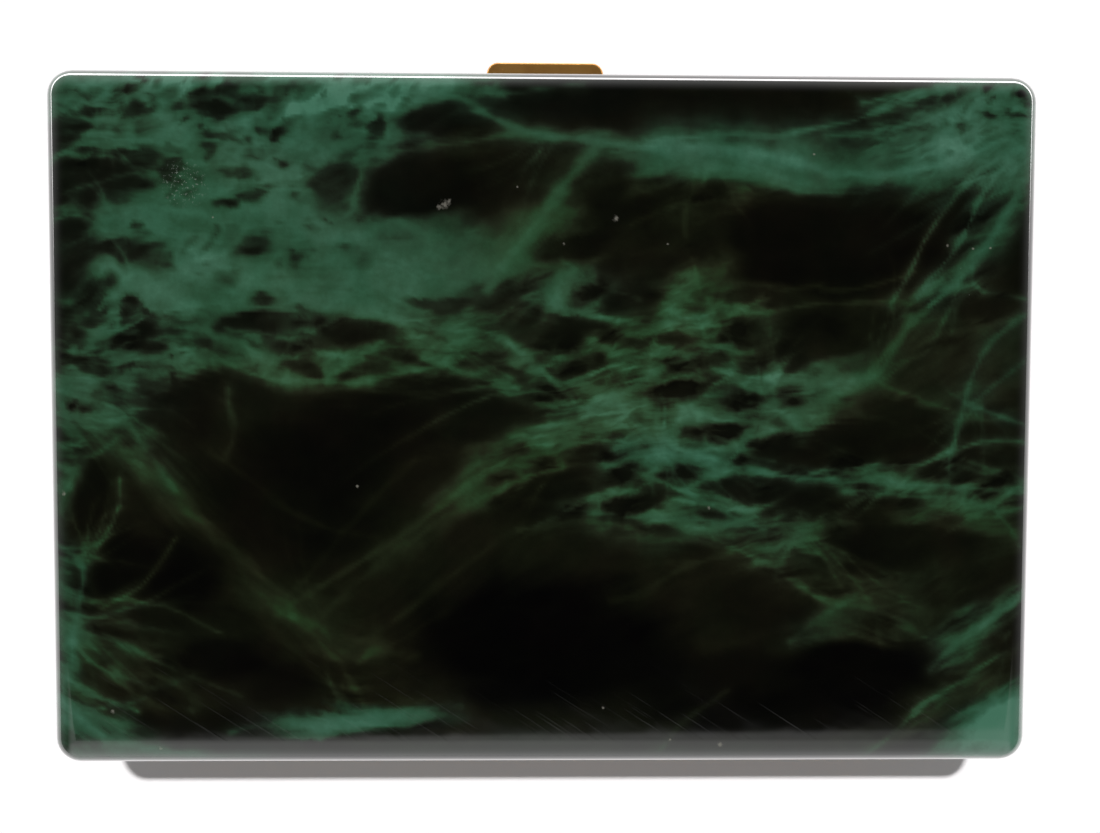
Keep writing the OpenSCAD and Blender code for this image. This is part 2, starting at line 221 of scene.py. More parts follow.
def apply_modifier(piece: bpy.types.Object, kind: str, **settings: object) -> None:
    """Adds a modifier to a piece, sets it and applies it.

    Args:
        piece: The mesh object.
        kind: The modifier's type.
        **settings: The modifier's properties.
    """
    take(piece)
    modifier = piece.modifiers.new(kind.title(), kind)
    for key, value in settings.items():
        setattr(modifier, key, value)
    bpy.ops.object.modifier_apply(modifier=modifier.name)


def carve(piece: bpy.types.Object, cutter: bpy.types.Object) -> None:
    """Cuts a piece with another one, which is then removed.

    Args:
        piece: The piece that is cut.
        cutter: The cutting body.
    """
    apply_modifier(piece, "BOOLEAN", object=cutter, operation="DIFFERENCE", solver="EXACT")
    bpy.data.meshes.remove(cutter.data)


def smooth(piece: bpy.types.Object) -> None:
    """Shades a piece smooth except across its sharp edges.

    Args:
        piece: The mesh object.
    """
    take(piece)
    bpy.ops.object.shade_smooth_by_angle(angle=SHARP)


def copy_of_node(node: str, name: str) -> bpy.types.Object:
    """Copies a CAD node's mesh and merges its loose triangles into clean faces.

    Args:
        node: The CAD node's name.
        name: The copy's name.

    Returns:
        The merged copy.
    """
    source = frame["nodes"][node]
    piece = bpy.data.objects.new(name, source.data.copy())
    bpy.context.scene.collection.objects.link(piece)
    piece.data.name = name
    piece.data.materials.clear()
    with editing(piece):
        bpy.ops.mesh.select_mode(type="VERT")
        bpy.ops.mesh.select_all(action="SELECT")
        bpy.ops.mesh.customdata_custom_splitnormals_clear()
        bpy.ops.mesh.remove_doubles(threshold=MERGE_GAP)
        bpy.ops.mesh.dissolve_limited(angle_limit=FLAT)
    return piece


# ------------------------------------------------------------ shader writing


class Value:
    """A shader socket that takes part in Python sums, each of which adds a Math node."""

    def __init__(self, paint: "Paint", socket: bpy.types.NodeSocket) -> None:
        """Keeps the socket and the material that it belongs to."""
        self.paint = paint
        self.socket = socket

    def _math(self, operation: str, *values: object) -> "Value":
        """Adds a Math node over the given values."""
        return self.paint.node("ShaderNodeMath", {"operation": operation}, dict(enumerate(values)))

    def __add__(self, other: object) -> "Value":
        """This value plus another."""
        return self._math("ADD", self, other)

    __radd__ = __add__

    def __sub__(self, other: object) -> "Value":
        """This value less another."""
        return self._math("SUBTRACT", self, other)

    def __rsub__(self, other: object) -> "Value":
        """Another value less this one."""
        return self._math("SUBTRACT", other, self)

    def __mul__(self, other: object) -> "Value":
        """This value times another."""
        return self._math("MULTIPLY", self, other)

    __rmul__ = __mul__

    def __truediv__(self, other: object) -> "Value":
        """This value divided by another."""
        return self._math("DIVIDE", self, other)

    def over(self, low: float, high: float) -> "Value":
        """A soft step from 0 at low to 1 at high.

        Args:
            low: Where the step starts.
            high: Where it ends.

        Returns:
            The stepped value.
        """
        settings = {"interpolation_type": "SMOOTHSTEP", "clamp": True}
        inputs = {"Value": self, "From Min": low, "From Max": high}
        return self.paint.node("ShaderNodeMapRange", settings, inputs, "Result")

    def clamp(self) -> "Value":
        """This value kept between 0 and 1."""
        return self.paint.node("ShaderNodeClamp", {}, {"Value": self}, "Result")

    @classmethod
    def zero(cls, paint: "Paint") -> "Value":
        """A plain nought to start a sum from.

        Args:
            paint: The material's paint.

        Returns:
            The nought.
        """
        nought = paint.node("ShaderNodeValue", {}, {}, "Value")
        nought.socket.default_value = 0.0
        return nought

    def parts(self) -> tuple["Value", ...]:
        """The X, Y and Z of a vector."""
        split = self.paint.node("ShaderNodeSeparateXYZ", {}, {"Vector": self}, "X")
        return tuple(Value(self.paint, split.socket.node.outputs[k]) for k in ("X", "Y", "Z"))

    def at_least(self, other: object) -> "Value":
        """The larger of this value and another."""
        return self._math("MAXIMUM", self, other)


class Paint:
    """One material's node tree, with short ways to add the nodes that the finishes use."""

    def __init__(self, owner: bpy.types.Material | bpy.types.World) -> None:
        """Starts an empty node tree.

        Args:
            owner: The material or world that the tree belongs to.
        """
        owner.use_nodes = True
        self.owner = owner
        self.tree = owner.node_tree
        self.tree.nodes.clear()

    @classmethod
    def of_material(cls, name: str, shown: Colour) -> "Paint":
        """Starts an empty material.

        Args:
            name: The material's name.
            shown: The plain colour that a viewport shows.

        Returns:
            The material's paint.
        """
        material = bpy.data.materials.new(name)
        material.diffuse_color = shown
        return cls(material)

    def node(
        self, kind: str, settings: dict[str, object], inputs: dict[object, object], output: object = 0
    ) -> Value:
        """Adds a node, sets it first and then fills its inputs.

        Args:
            kind: The node's type.
            settings: The node's own properties, and "stops" for a ramp.
            inputs: Values or links of its sockets, by name or number.
            output: The output socket that is returned, by name or number.

        Returns:
            The wrapped output socket.
        """
        made = self.tree.nodes.new(kind)
        for key, value in settings.items():
            if key == "stops":
                self._fill_ramp(made.color_ramp, value)
            else:
                setattr(made, key, value)
        for key, value in inputs.items():
            socket = made.inputs[key]
            if isinstance(value, Value):
                self.tree.links.new(value.socket, socket)
            else:
                socket.default_value = value
        return Value(self, made.outputs[output])

    @staticmethod
    def _fill_ramp(ramp: bpy.types.ColorRamp, stops: Sequence[tuple[float, Colour]]) -> None:
        """Writes the stops of a colour ramp.

        Args:
            ramp: The ramp.
            stops: The ramp's places and colours.
        """
        while len(ramp.elements) < len(stops):
            ramp.elements.new(1.0)
        for element, (place, colour) in zip(ramp.elements, stops):
            element.position = place
            element.color = colour

    def place(self) -> Value:
        """The point on the piece, in metres."""
        return self.node("ShaderNodeTexCoord", {}, {}, "Object")

    def turned(self, place: Value, degrees: Place = (0, 0, 0), scale: Place = (1, 1, 1)) -> Value:
        """A point after a turn and a scale.

        Args:
            place: The point.
            degrees: The turn about each axis.
            scale: The factor along each axis after the turn.

        Returns:
            The changed point.
        """
        turn = tuple(math.radians(d) for d in degrees)
        inputs = {"Vector": place, "Rotation": turn}
        spun = self.node("ShaderNodeMapping", {"vector_type": "POINT"}, inputs)
        return self.node("ShaderNodeVectorMath", {"operation": "MULTIPLY"}, {0: spun, 1: scale}, "Vector")

    def noise(
        self, place: Value, size: float, detail: float, rough: float, kind: str = "FBM", **more: float
    ) -> Value:
        """Noise whose largest lumps are about size millimetres across.

        Args:
            place: The point that it reads.
            size: Size of its lumps in millimetres.
            detail: Number of finer layers.
            rough: Strength of each finer layer.
            kind: The noise's type.
            **more: Other input sockets of the node, such as Gain.

        Returns:
            A value from 0 to 1.
        """
        inputs = {"Vector": place, "Scale": 1 / (size * MM), "Detail": detail, "Roughness": rough, **more}
        settings = {"noise_dimensions": "3D", "noise_type": kind}
        if kind == "FBM":
            settings["normalize"] = True
        return self.node("ShaderNodeTexNoise", settings, inputs, "Fac")

    def cells(self, place: Value, size: float, feature: str = "F1") -> Value:
        """Distance in cells of about size millimetres.

        Args:
            place: The point that it reads.
            size: Size of a cell in millimetres.
            feature: Which distance is given.

        Returns:
            The distance in cell widths.
        """
        inputs = {"Vector": place, "Scale": 1 / (size * MM)}
        return self.node("ShaderNodeTexVoronoi", {"feature": feature}, inputs, "Distance")

    def ramp(self, value: Value, stops: Sequence[tuple[float, Colour]]) -> Value:
        """A colour read from a ramp.

        Args:
            value: The place on the ramp.
            stops: The ramp's places and colours.

        Returns:
            The colour.
        """
        return self.node("ShaderNodeValToRGB", {"stops": stops}, {"Fac": value}, "Color")

    def mix(self, share: object, first: object, second: object, blend: str = "MIX") -> Value:
        """Mixes two colours.

        Args:
            share: How much of the second colour there is.
            first: The first colour.
            second: The second colour.
            blend: The blend type.

        Returns:
            The mixed colour.
        """
        made = self.tree.nodes.new("ShaderNodeMix")
        made.data_type = "RGBA"
        made.blend_type = blend
        made.clamp_factor = True
        for name, value in (("Factor_Float", share), ("A_Color", first), ("B_Color", second)):
            socket = next(s for s in made.inputs if s.identifier == name)
            if isinstance(value, Value):
                self.tree.links.new(value.socket, socket)
            else:
                socket.default_value = value
        return Value(self, next(s for s in made.outputs if s.identifier == "Result_Color"))

    def distance(self, place: Value, point: Place) -> Value:
        """How far each place is from a point.

        Args:
            place: The place.
            point: The point, in metres.

        Returns:
            The distance in metres.
        """
        settings = {"operation": "DISTANCE"}
        return self.node("ShaderNodeVectorMath", settings, {0: place, 1: point}, "Value")

    def attribute(self, name: str) -> tuple[Value, Value, Value]:
        """The three numbers stored in one of the piece's colour attributes.

        Args:
            name: The attribute's name.

        Returns:
            Its red, green and blue numbers.
        """
        colour = self.node("ShaderNodeAttribute", {"attribute_name": name}, {}, "Color")
        split = self.node("ShaderNodeSeparateColor", {}, {"Color": colour}, "Red")
        outputs = split.socket.node.outputs
        return tuple(Value(self, outputs[key]) for key in ("Red", "Green", "Blue"))

    def bump(self, height: Value, depth: float, under: Value | None = None) -> Value:
        """A normal bent by a height.

        Args:
            height: The height, from 0 to 1.
            depth: The real depth of that height in millimetres.
            under: Another bump that this one lies on.

        Returns:
            The normal.
        """
        inputs = {"Height": height, "Distance": depth * MM, "Strength": 1.0}
        if under is not None:
            inputs["Normal"] = under
        return self.node("ShaderNodeBump", {}, inputs, "Normal")

    def surface(self, **sockets: object) -> bpy.types.Material:
        """Ends the material in a Principled shader.

        Args:
            **sockets: The shader's sockets, with spaces as underscores.

        Returns:
            The finished material.
        """
        inputs = {key.replace("_", " "): value for key, value in sockets.items()}
        shader = self.node("ShaderNodeBsdfPrincipled", {}, inputs, "BSDF")
        self._end("ShaderNodeOutputMaterial", shader)
        return self.owner

    def sky(self, strength: Value) -> None:
        """Ends a world in a white background of varying strength."""
        inputs = {"Color": (1, 1, 1, 1), "Strength": strength}
        self._end("ShaderNodeOutputWorld", self.node("ShaderNodeBackground", {}, inputs, "Background"))

    def _end(self, kind: str, shader: Value) -> None:
        """Links a shader to a new output node."""
        out = self.tree.nodes.new(kind)
        self.tree.links.new(shader.socket, out.inputs["Surface"])


# -------------------------------------------------------------- the marbling


@dataclass(frozen=True)
class Veil:
    """A soft patch of pigment in the lacquer, in millimetres from the middle of the face."""

    centre: Point
    radii: Point
    turn: float
    strength: float
    teal: float
    soft: float


@dataclass(frozen=True)
class Hollow:
    """A dark lens-shaped opening in the pigment, in millimetres from the middle of the face."""

    centre: Point
    radii: Point
    turn: float
    depth: float
    soft: float = 0.7
    bare: float = 0


@dataclass(frozen=True)
class Vein:
    """A thread or band of pigment along a smooth line, in millimetres from the middle of the face."""

    points: tuple[Point, ...]
    width: float
    strength: float
    teal: float
    end_strength: float | None = None


@dataclass(frozen=True)
class Fan:
    """Fine threads that spread from one place, in millimetres and degrees."""

    origin: Point
    aim: float
    spread: float
    count: int
    length: float
    width: float
    strength: float
    teal: float
    steps: int = 4
    scatter: float = 0.8
    curl: float = 9
    waver: float = 10
    fade: float = 0.1

    def threads(self, seed: int) -> list[Vein]:
        """Lays the fan's threads.

        Args:
            seed: The seed of their small differences.

        Returns:
            One vein for each thread.
        """
        rng = np.random.default_rng(seed)
        made = []
        for k in range(self.count):
            share = (k + 0.5 + rng.uniform(-0.3, 0.3)) / self.count - 0.5
            heading = math.radians(self.aim + share * self.spread)
            curl = math.radians(rng.uniform(-self.curl, self.curl))
            stride = self.length * rng.uniform(0.5, 1.1) / self.steps
            x = self.origin[0] + rng.uniform(-self.scatter, self.scatter)
            y = self.origin[1] + rng.uniform(-self.scatter, self.scatter)
            points = [(x, y)]
            for _ in range(self.steps):
                x, y = x + stride * math.cos(heading), y + stride * math.sin(heading)
                heading += curl + math.radians(rng.uniform(-self.waver, self.waver))
                points.append((x, y))
            strength = self.strength * rng.uniform(0.6, 1.1)
            width = self.width * rng.uniform(0.7, 1.3)
            made.append(Vein(tuple(points), width, strength, self.teal, self.fade * strength))
        return made


@dataclass(frozen=True)
class Froth:
    """Many small dark bubbles scattered through a patch, in millimetres and degrees."""

    centre: Point
    radii: Point
    count: int
    smallest: float
    largest: float
    stretch: float
    turn: float
    depth: float
    sway: float = 16
    soft: float = 1.4

    def bubbles(self, seed: int) -> list[Hollow]:
        """Scatters the bubbles.

        Args:
            seed: The seed of their places and sizes.

        Returns:
            One hollow for each bubble.
        """
        rng = np.random.default_rng(seed)
        made = []
        for _ in range(self.count):
            far, way = math.sqrt(rng.uniform()), rng.uniform(0, 2 * math.pi)
            x = self.centre[0] + self.radii[0] * far * math.cos(way)
            y = self.centre[1] + self.radii[1] * far * math.sin(way)
            size = self.smallest + (self.largest - self.smallest) * rng.uniform() ** 2
            radii = (size * self.stretch * rng.uniform(0.6, 1.2), size)
            turn = self.turn + rng.uniform(-self.sway, self.sway)
            depth = min(self.depth * rng.uniform(0.6, 1.15), 1)
            made.append(Hollow((x, y), radii, turn, depth, self.soft))
        return made


@dataclass(frozen=True)
class Marbling:
    """The listed layout of one shell's marbling."""

    veils: tuple[Veil, ...]
    hollows: tuple[Hollow, ...]
    veins: tuple[Vein, ...]
    fans: tuple[Fan, ...]
    froths: tuple[Froth, ...]
    nets: tuple[Veil, ...]
    seed: int

    def turned_round(self, seed: int) -> "Marbling":
        """The same kind of layout for another shell, turned half round and drawn out differently.

        Args:
            seed: The new layout's seed.

        Returns:
            The new layout.
        """

        def around(point: Point) -> Point:
            """Turns a point half round the middle."""
            return (-point[0], -point[1])

        def moved(patches: tuple) -> tuple:
            """Turns each patch's centre half round the middle."""
            return tuple(replace(patch, centre=around(patch.centre)) for patch in patches)

        return Marbling(
            veils=moved(self.veils),
            hollows=moved(self.hollows),
            veins=tuple(replace(vein, points=tuple(map(around, vein.points))) for vein in self.veins),
            fans=tuple(replace(fan, origin=around(fan.origin), aim=fan.aim + 180) for fan in self.fans),
            froths=moved(self.froths),
            nets=moved(self.nets),
            seed=seed,
        )

    def all_veins(self) -> list[Vein]:
        """The veins and the fans' threads, each fan with its own seed."""
        threads = (fan.threads(self.seed + 17 * k) for k, fan in enumerate(self.fans))
        return [*self.veins, *chain.from_iterable(threads)]

    def all_hollows(self) -> list[Hollow]:
        """The hollows and the froths' bubbles, each froth with its own seed."""
        bubbles = (froth.bubbles(self.seed + 13 * k) for k, froth in enumerate(self.froths))
        return [*self.hollows, *chain.from_iterable(bubbles)]


def lattice_noise(x: np.ndarray, y: np.ndarray, cell: float, seed: int) -> np.ndarray:
    """Smooth repeatable noise on a square lattice.

    Args:
        x: Places along X in millimetres.
        y: Places along Y in millimetres.
        cell: The lattice spacing in millimetres.
        seed: The seed of the lattice values.

    Returns:
        Values between -1 and 1.
    """
    side = 256
    table = np.random.default_rng(seed).uniform(-1, 1, (side, side))
    shift_u, shift_v = 97.3, 61.7
    u, v = x / cell + shift_u, y / cell + shift_v
    i, j = np.floor(u).astype(int), np.floor(v).astype(int)
    fu, fv = u - i, v - j
    fu, fv = fu * fu * (3 - 2 * fu), fv * fv * (3 - 2 * fv)
    i, j = i % (side - 1), j % (side - 1)
    low = table[j, i] * (1 - fu) + table[j, i + 1] * fu
    high = table[j + 1, i] * (1 - fu) + table[j + 1, i + 1] * fu
    return low * (1 - fv) + high * fv


def layered_noise(x: np.ndarray, y: np.ndarray, cell: float, seed: int, layers: int) -> np.ndarray:
    """Several layers of lattice noise, each half the size and strength of the one before.

    Args:
        x: Places along X in millimetres.
        y: Places along Y in millimetres.
        cell: The spacing of the widest layer in millimetres.
        seed: The seed of the first layer.
        layers: The number of layers.

    Returns:
        Values of about -1 to 1.
    """
    total = np.zeros_like(x)
    for k in range(layers):
        total += 0.5**k * lattice_noise(x, y, cell / 2**k, seed + 31 * k)
    return total / (2 - 0.5 ** (layers - 1))


def smooth_line(points: Sequence[Point], spacing: float) -> np.ndarray:
    """Points along a smooth curve through the given ones.

    Args:
        points: The points that the curve passes through.
        spacing: The distance between the returned points.

    Returns:
        An array of points, one row each.
    """
    p = np.array(points, float)
    p = np.vstack([2 * p[0] - p[1], p, 2 * p[-1] - p[-2]])
    rows = []
    for a, b, c, d in zip(p, p[1:], p[2:], p[3:]):
        steps = max(2, int(np.hypot(*(c - b)) / spacing))
        t = np.linspace(0, 1, steps, endpoint=False)[:, None]
        square, cube = 2 * a - 5 * b + 4 * c - d, 3 * b - a - 3 * c + d
        rows.append(0.5 * (2 * b + (c - a) * t + square * t**2 + cube * t**3))
    rows.append(p[-2][None, :])
    return np.vstack(rows)


@dataclass
class MarbleField:
    """Spreads a listed marbling over a sheet a little larger than the face and its rolled edges.

    Pigment is drawn out along the run of the nearest veins, as it is when lacquer is combed wet.
    Lengths are in millimetres.
    """

    layout: Marbling
    roll: float
    half_width: float = 64
    half_depth: float = 48
    step: float = 0.2
    coarse_step: float = 2.0
    rest_run: float = 8
    vein_pull: float = 3.2
    stride: float = 1.5
    pigment: np.ndarray = field(init=False)
    teal: np.ndarray = field(init=False)
    net: np.ndarray = field(init=False)
    run: np.ndarray = field(init=False)
    along: np.ndarray = field(init=False)
    across: np.ndarray = field(init=False)

    def __post_init__(self) -> None:
        """Works out the sheet's pigment, hue, net and direction."""
        xs = np.arange(-self.half_width, self.half_width + self.step, self.step)
        ys = np.arange(-self.half_depth, self.half_depth + self.step, self.step)
        self._x, self._y = np.meshgrid(xs, ys)
        self._lay_direction()
        self._lay_pigment()

    def _lay_direction(self) -> None:
        """Finds the run of the veins near each place, as a doubled angle."""
        cell = self.coarse_step
        xs = np.arange(-self.half_width, self.half_width + cell, cell)
        ys = np.arange(-self.half_depth, self.half_depth + cell, cell)
        gx, gy = np.meshgrid(xs, ys)
        rest = math.radians(2 * self.rest_run)
        cos2 = np.full_like(gx, 0.5 * math.cos(rest))
        sin2 = np.full_like(gx, 0.5 * math.sin(rest))
        for vein in self.layout.all_veins():
            line = smooth_line(vein.points, 1.0)
            for (x, y), (dx, dy) in zip(line, np.gradient(line, axis=0)):
                angle = 2 * math.atan2(dy, dx)
                far2 = (gx - x) ** 2 + (gy - y) ** 2
                pull = math.sqrt(vein.width) * vein.strength
                near = pull * np.exp(-far2 / (2 * self.vein_pull**2))
                cos2 += near * math.cos(angle)
                sin2 += near * math.sin(angle)
        wander = 0.3 * layered_noise(gx, gy, 11, self.layout.seed + 5, 2)
        turn = 0.5 * np.arctan2(sin2, cos2) + wander
        self.run = self._coarse(turn)
        self.along = self._coarse(self._height(np.cos(turn), np.sin(turn), cell))
        self.across = self._coarse(self._height(-np.sin(turn), np.cos(turn), cell))

    @staticmethod
    def _height(slope_x: np.ndarray, slope_y: np.ndarray, cell: float) -> np.ndarray:
        """The smooth height whose slopes come nearest to two given ones.

        Args:
            slope_x: The slope along X at each place.
            slope_y: The slope along Y at each place.
            cell: The distance between places.

        Returns:
            The height at each place.
        """
        rows, columns = slope_x.shape
        wide = np.hstack([slope_x, -slope_x[:, ::-1]])
        tall = np.hstack([slope_y, slope_y[:, ::-1]])
        wide, tall = np.vstack([wide, wide[::-1]]), np.vstack([tall, -tall[::-1]])
        kx = 2j * math.pi * np.fft.fftfreq(2 * columns, cell)[None, :]
        ky = 2j * math.pi * np.fft.fftfreq(2 * rows, cell)[:, None]
        square = kx**2 + ky**2
        square[0, 0] = 1
        height = np.fft.ifft2((kx * np.fft.fft2(wide) + ky * np.fft.fft2(tall)) / square)
        return height.real[:rows, :columns]

    def _coarse(self, grid: np.ndarray) -> np.ndarray:
        """Reads a coarse grid at every place of the sheet.

        Args:
            grid: The grid, with a value each coarse step.

        Returns:
            Its value at each place of the sheet.
        """
        u = (self._x + self.half_width) / self.coarse_step
        v = (self._y + self.half_depth) / self.coarse_step
        return self._read(grid, u, v)

    @staticmethod
    def _read(grid: np.ndarray, u: np.ndarray, v: np.ndarray) -> np.ndarray:
        """Reads a grid between its points.

        Args:
            grid: The values, rows along Y.
            u: Column places.
            v: Row places.

        Returns:
            The values at the places.
        """
        rows, columns = grid.shape
        u = np.clip(u, 0, columns - 1.001)
        v = np.clip(v, 0, rows - 1.001)
        i, j = u.astype(int), v.astype(int)
        fu, fv = u - i, v - j
        low = grid[j, i] * (1 - fu) + grid[j, i + 1] * fu
        high = grid[j + 1, i] * (1 - fu) + grid[j + 1, i + 1] * fu
        return low * (1 - fv) + high * fv

    def _drawn_out(self, grain: np.ndarray, length: float) -> np.ndarray:
        """Smears a grain along the run, both ways, and evens it to a mean of 0 and a spread of 1.

        Args:
            grain: The grain's value at each place of the sheet.
            length: How far it's smeared each way.

        Returns:
            The smeared grain.
        """
        total, weight = grain.copy(), 1.0
        count = int(length / self.step / self.stride)
        for way in (1, -1):
            u = (self._x + self.half_width) / self.step
            v = (self._y + self.half_depth) / self.step
            for k in range(count):
                turn = self._read(self.run, u, v)
                u, v = u + way * self.stride * np.cos(turn), v + way * self.stride * np.sin(turn)
                fade = 0.5 + 0.5 * math.cos(math.pi * (k + 1) / (count + 1))
                total += fade * self._read(grain, u, v)
                weight += fade
        total /= weight
        return (total - total.mean()) / total.std()

    def _lay_pigment(self) -> None:
        """Lays veils, opens hollows, lays veins and combs the result."""
        seed = self.layout.seed
        x = self._x + 1.1 * layered_noise(self._x, self._y, 6, seed, 4)
        y = self._y + 0.9 * layered_noise(self._x, self._y, 5, seed + 900, 4)
        vein_x, vein_y = self._x + 0.3 * (x - self._x), self._y + 0.3 * (y - self._y)
        rng = np.random.default_rng(seed + 3)
        comb_wide = self._drawn_out(layered_noise(self._x, self._y, 2.2, seed + 40, 3), 6)
        comb_fine = self._drawn_out(rng.normal(size=x.shape), 4)
        x = x + 0.35 * comb_wide + 0.3 * layered_noise(self._x, self._y, 1.5, seed + 500, 2)
        ragged = 0.25 * layered_noise(self._x, self._y, 1.5, seed + 600, 2)
        y = y + 0.4 * comb_wide + 0.1 * comb_fine + ragged
        vein_x, vein_y = vein_x + 0.12 * comb_wide, vein_y + 0.12 * comb_wide
        bare, bare_teal, bare_weight = 0.07, 0.2, 0.1
        union = np.full_like(x, bare**3)
        teal, weight = np.full_like(x, bare_teal * bare_weight), np.full_like(x, bare_weight)
        for veil in self.layout.veils:
            near = veil.strength * self._inside(x, y, veil)
            union += near**3
            teal += near * veil.teal
            weight += near
        pigment = np.cbrt(union)
        ground = 0.1 + 0.06 * layered_noise(x, y, 9, seed + 300, 3)
        for hollow in self.layout.all_hollows():
            self._open_hollow(hollow, x, y, pigment, ground)
        for vein in self.layout.all_veins():
            near = self._near(vein, vein_x, vein_y)
            pigment = pigment + near * (1 - pigment) * (1 - 0.5 * pigment)
            teal += near * vein.teal
            weight += near
        edge = np.clip(4 * pigment * (1 - pigment), 0.05, 1)
        pigment = np.clip(pigment + edge * (0.05 * comb_wide + 0.02 * comb_fine), 0, 1)
        self.pigment = pigment + ground * (1 - pigment) ** 2
        drift = 0.12 * layered_noise(self._x, self._y, 14, seed + 77, 3)
        self.teal = np.clip(teal / weight + drift, 0, 1)
        self.net = np.full_like(x, 0.16)
        for veil in self.layout.nets:
            self.net = np.maximum(self.net, veil.strength * self._inside(x, y, veil))

    @staticmethod
    def _inside(x: np.ndarray, y: np.ndarray, patch: Veil | Hollow) -> np.ndarray:
        """How far each place is inside a patch's turned ellipse with its soft rim.

        Args:
            x: The drawn-out places along X.
            y: The drawn-out places along Y.
            patch: The veil or hollow.

        Returns:
            0 outside, 1 inside and a soft step between them at the rim.
        """
        c, s = math.cos(math.radians(patch.turn)), math.sin(math.radians(patch.turn))
        dx, dy = x - patch.centre[0], y - patch.centre[1]
        long, short = (c * dx + s * dy) / patch.radii[0], (c * dy - s * dx) / patch.radii[1]
        t = np.clip((1 + patch.soft * 0.5 - np.sqrt(long**2 + short**2)) / patch.soft, 0, 1)
        return t * t * (3 - 2 * t)

    def _window(self, low: np.ndarray, high: np.ndarray) -> tuple[slice, slice]:
        """The part of the sheet between two corners.

        Args:
            low: The lower corner in millimetres.
            high: The upper corner in millimetres.

        Returns:
            The slices of its rows and columns.
        """
        first = ((low + (self.half_width, self.half_depth)) / self.step).astype(int).clip(0)
        last = ((high + (self.half_width, self.half_depth)) / self.step).astype(int).clip(0)
        return slice(first[1], last[1] + 1), slice(first[0], last[0] + 1)

    def _open_hollow(
        self, hollow: Hollow, x: np.ndarray, y: np.ndarray, pigment: np.ndarray, ground: np.ndarray
    ) -> None:
        """Thins the pigment and the ground's own tone inside one hollow.

        Args:
            hollow: The hollow.
            x: The drawn-out places along X.
            y: The drawn-out places along Y.
            pigment: The pigment, which is changed.
            ground: The ground's tone, which is changed.
        """
        reach = 1.8 * max(hollow.radii) + 3
        centre = np.array(hollow.centre)
        window = self._window(centre - reach, centre + reach)
        inside = self._inside(x[window], y[window], hollow)
        pigment[window] *= 1 - hollow.depth * inside
        ground[window] *= 1 - hollow.bare * inside

    def _near(self, vein: Vein, x: np.ndarray, y: np.ndarray) -> np.ndarray:
        """How strongly one vein lies over each place, worked out in small windows along its line.

        Args:
            vein: The vein.
            x: The drawn-out places along X.
            y: The drawn-out places along Y.

        Returns:
            The vein's strength at each place.
        """
        line = smooth_line(vein.points, 0.6)
        near = np.zeros_like(x)
        last = vein.strength if vein.end_strength is None else vein.end_strength
        reach = 3.2 * vein.width + 2.5
        for k, (a, b) in enumerate(zip(line, line[1:])):
            share = k / max(1, len(line) - 2)
            strength = vein.strength + (last - vein.strength) * share
            width = vein.width * (0.75 + 0.25 * math.sin(k * 0.9 + vein.points[0][0]))
            window = self._window(np.minimum(a, b) - reach, np.maximum(a, b) + reach)
            dx, dy = x[window] - a[0], y[window] - a[1]
            bx, by = b - a
            t = np.clip((dx * bx + dy * by) / (bx * bx + by * by + 1e-9), 0, 1)
            far2 = (dx - t * bx) ** 2 + (dy - t * by) ** 2
            core = np.exp(-far2 / (2 * (0.5 * width) ** 2))
            glow = 0.35 * np.exp(-far2 / (2 * (1.3 * width) ** 2))
            near[window] = np.maximum(near[window], strength * np.maximum(core, glow))
        return near

    def write_to(self, piece: bpy.types.Object, face_z: float, mid_y: float, mirror: int) -> None:
        """Stores the marbling in a piece's attributes, folded back over its walls.

        Args:
            piece: The shell.
            face_z: Height of the shell's face in millimetres.
            mid_y: Middle of the face along Y in millimetres.
            mirror: -1 where the layout is seen from behind.
        """
        mesh = piece.data
        co = np.empty(len(mesh.vertices) * 3, np.float32)
        mesh.vertices.foreach_get("co", co)
        co = co.reshape(-1, 3).astype(float) / MM
        below = np.clip(np.abs(face_z - co[:, 2]) - self.roll, 0, None)
        x = mirror * np.sign(co[:, 0]) * (np.abs(co[:, 0]) - below)
        y = co[:, 1] - mid_y
        y = np.sign(y) * (np.abs(y) - below)
        u, v = (x + self.half_width) / self.step, (y + self.half_depth) / self.step
        sheets = [self._read(sheet, u, v) for sheet in (self.pigment, self.teal, self.net)]
        colours = np.stack([*sheets, np.ones_like(u)], 1)
        comb = np.stack([self._read(self.along, u, v), self._read(self.across, u, v), 0 * u], 1) * MM
        veil_layer = mesh.color_attributes.new("veil", "FLOAT_COLOR", "POINT")
        veil_layer.data.foreach_set("color", colours.astype(np.float32).ravel())
        comb_layer = mesh.attributes.new("comb", "FLOAT_VECTOR", "POINT")
        comb_layer.data.foreach_set("vector", comb.astype(np.float32).ravel())


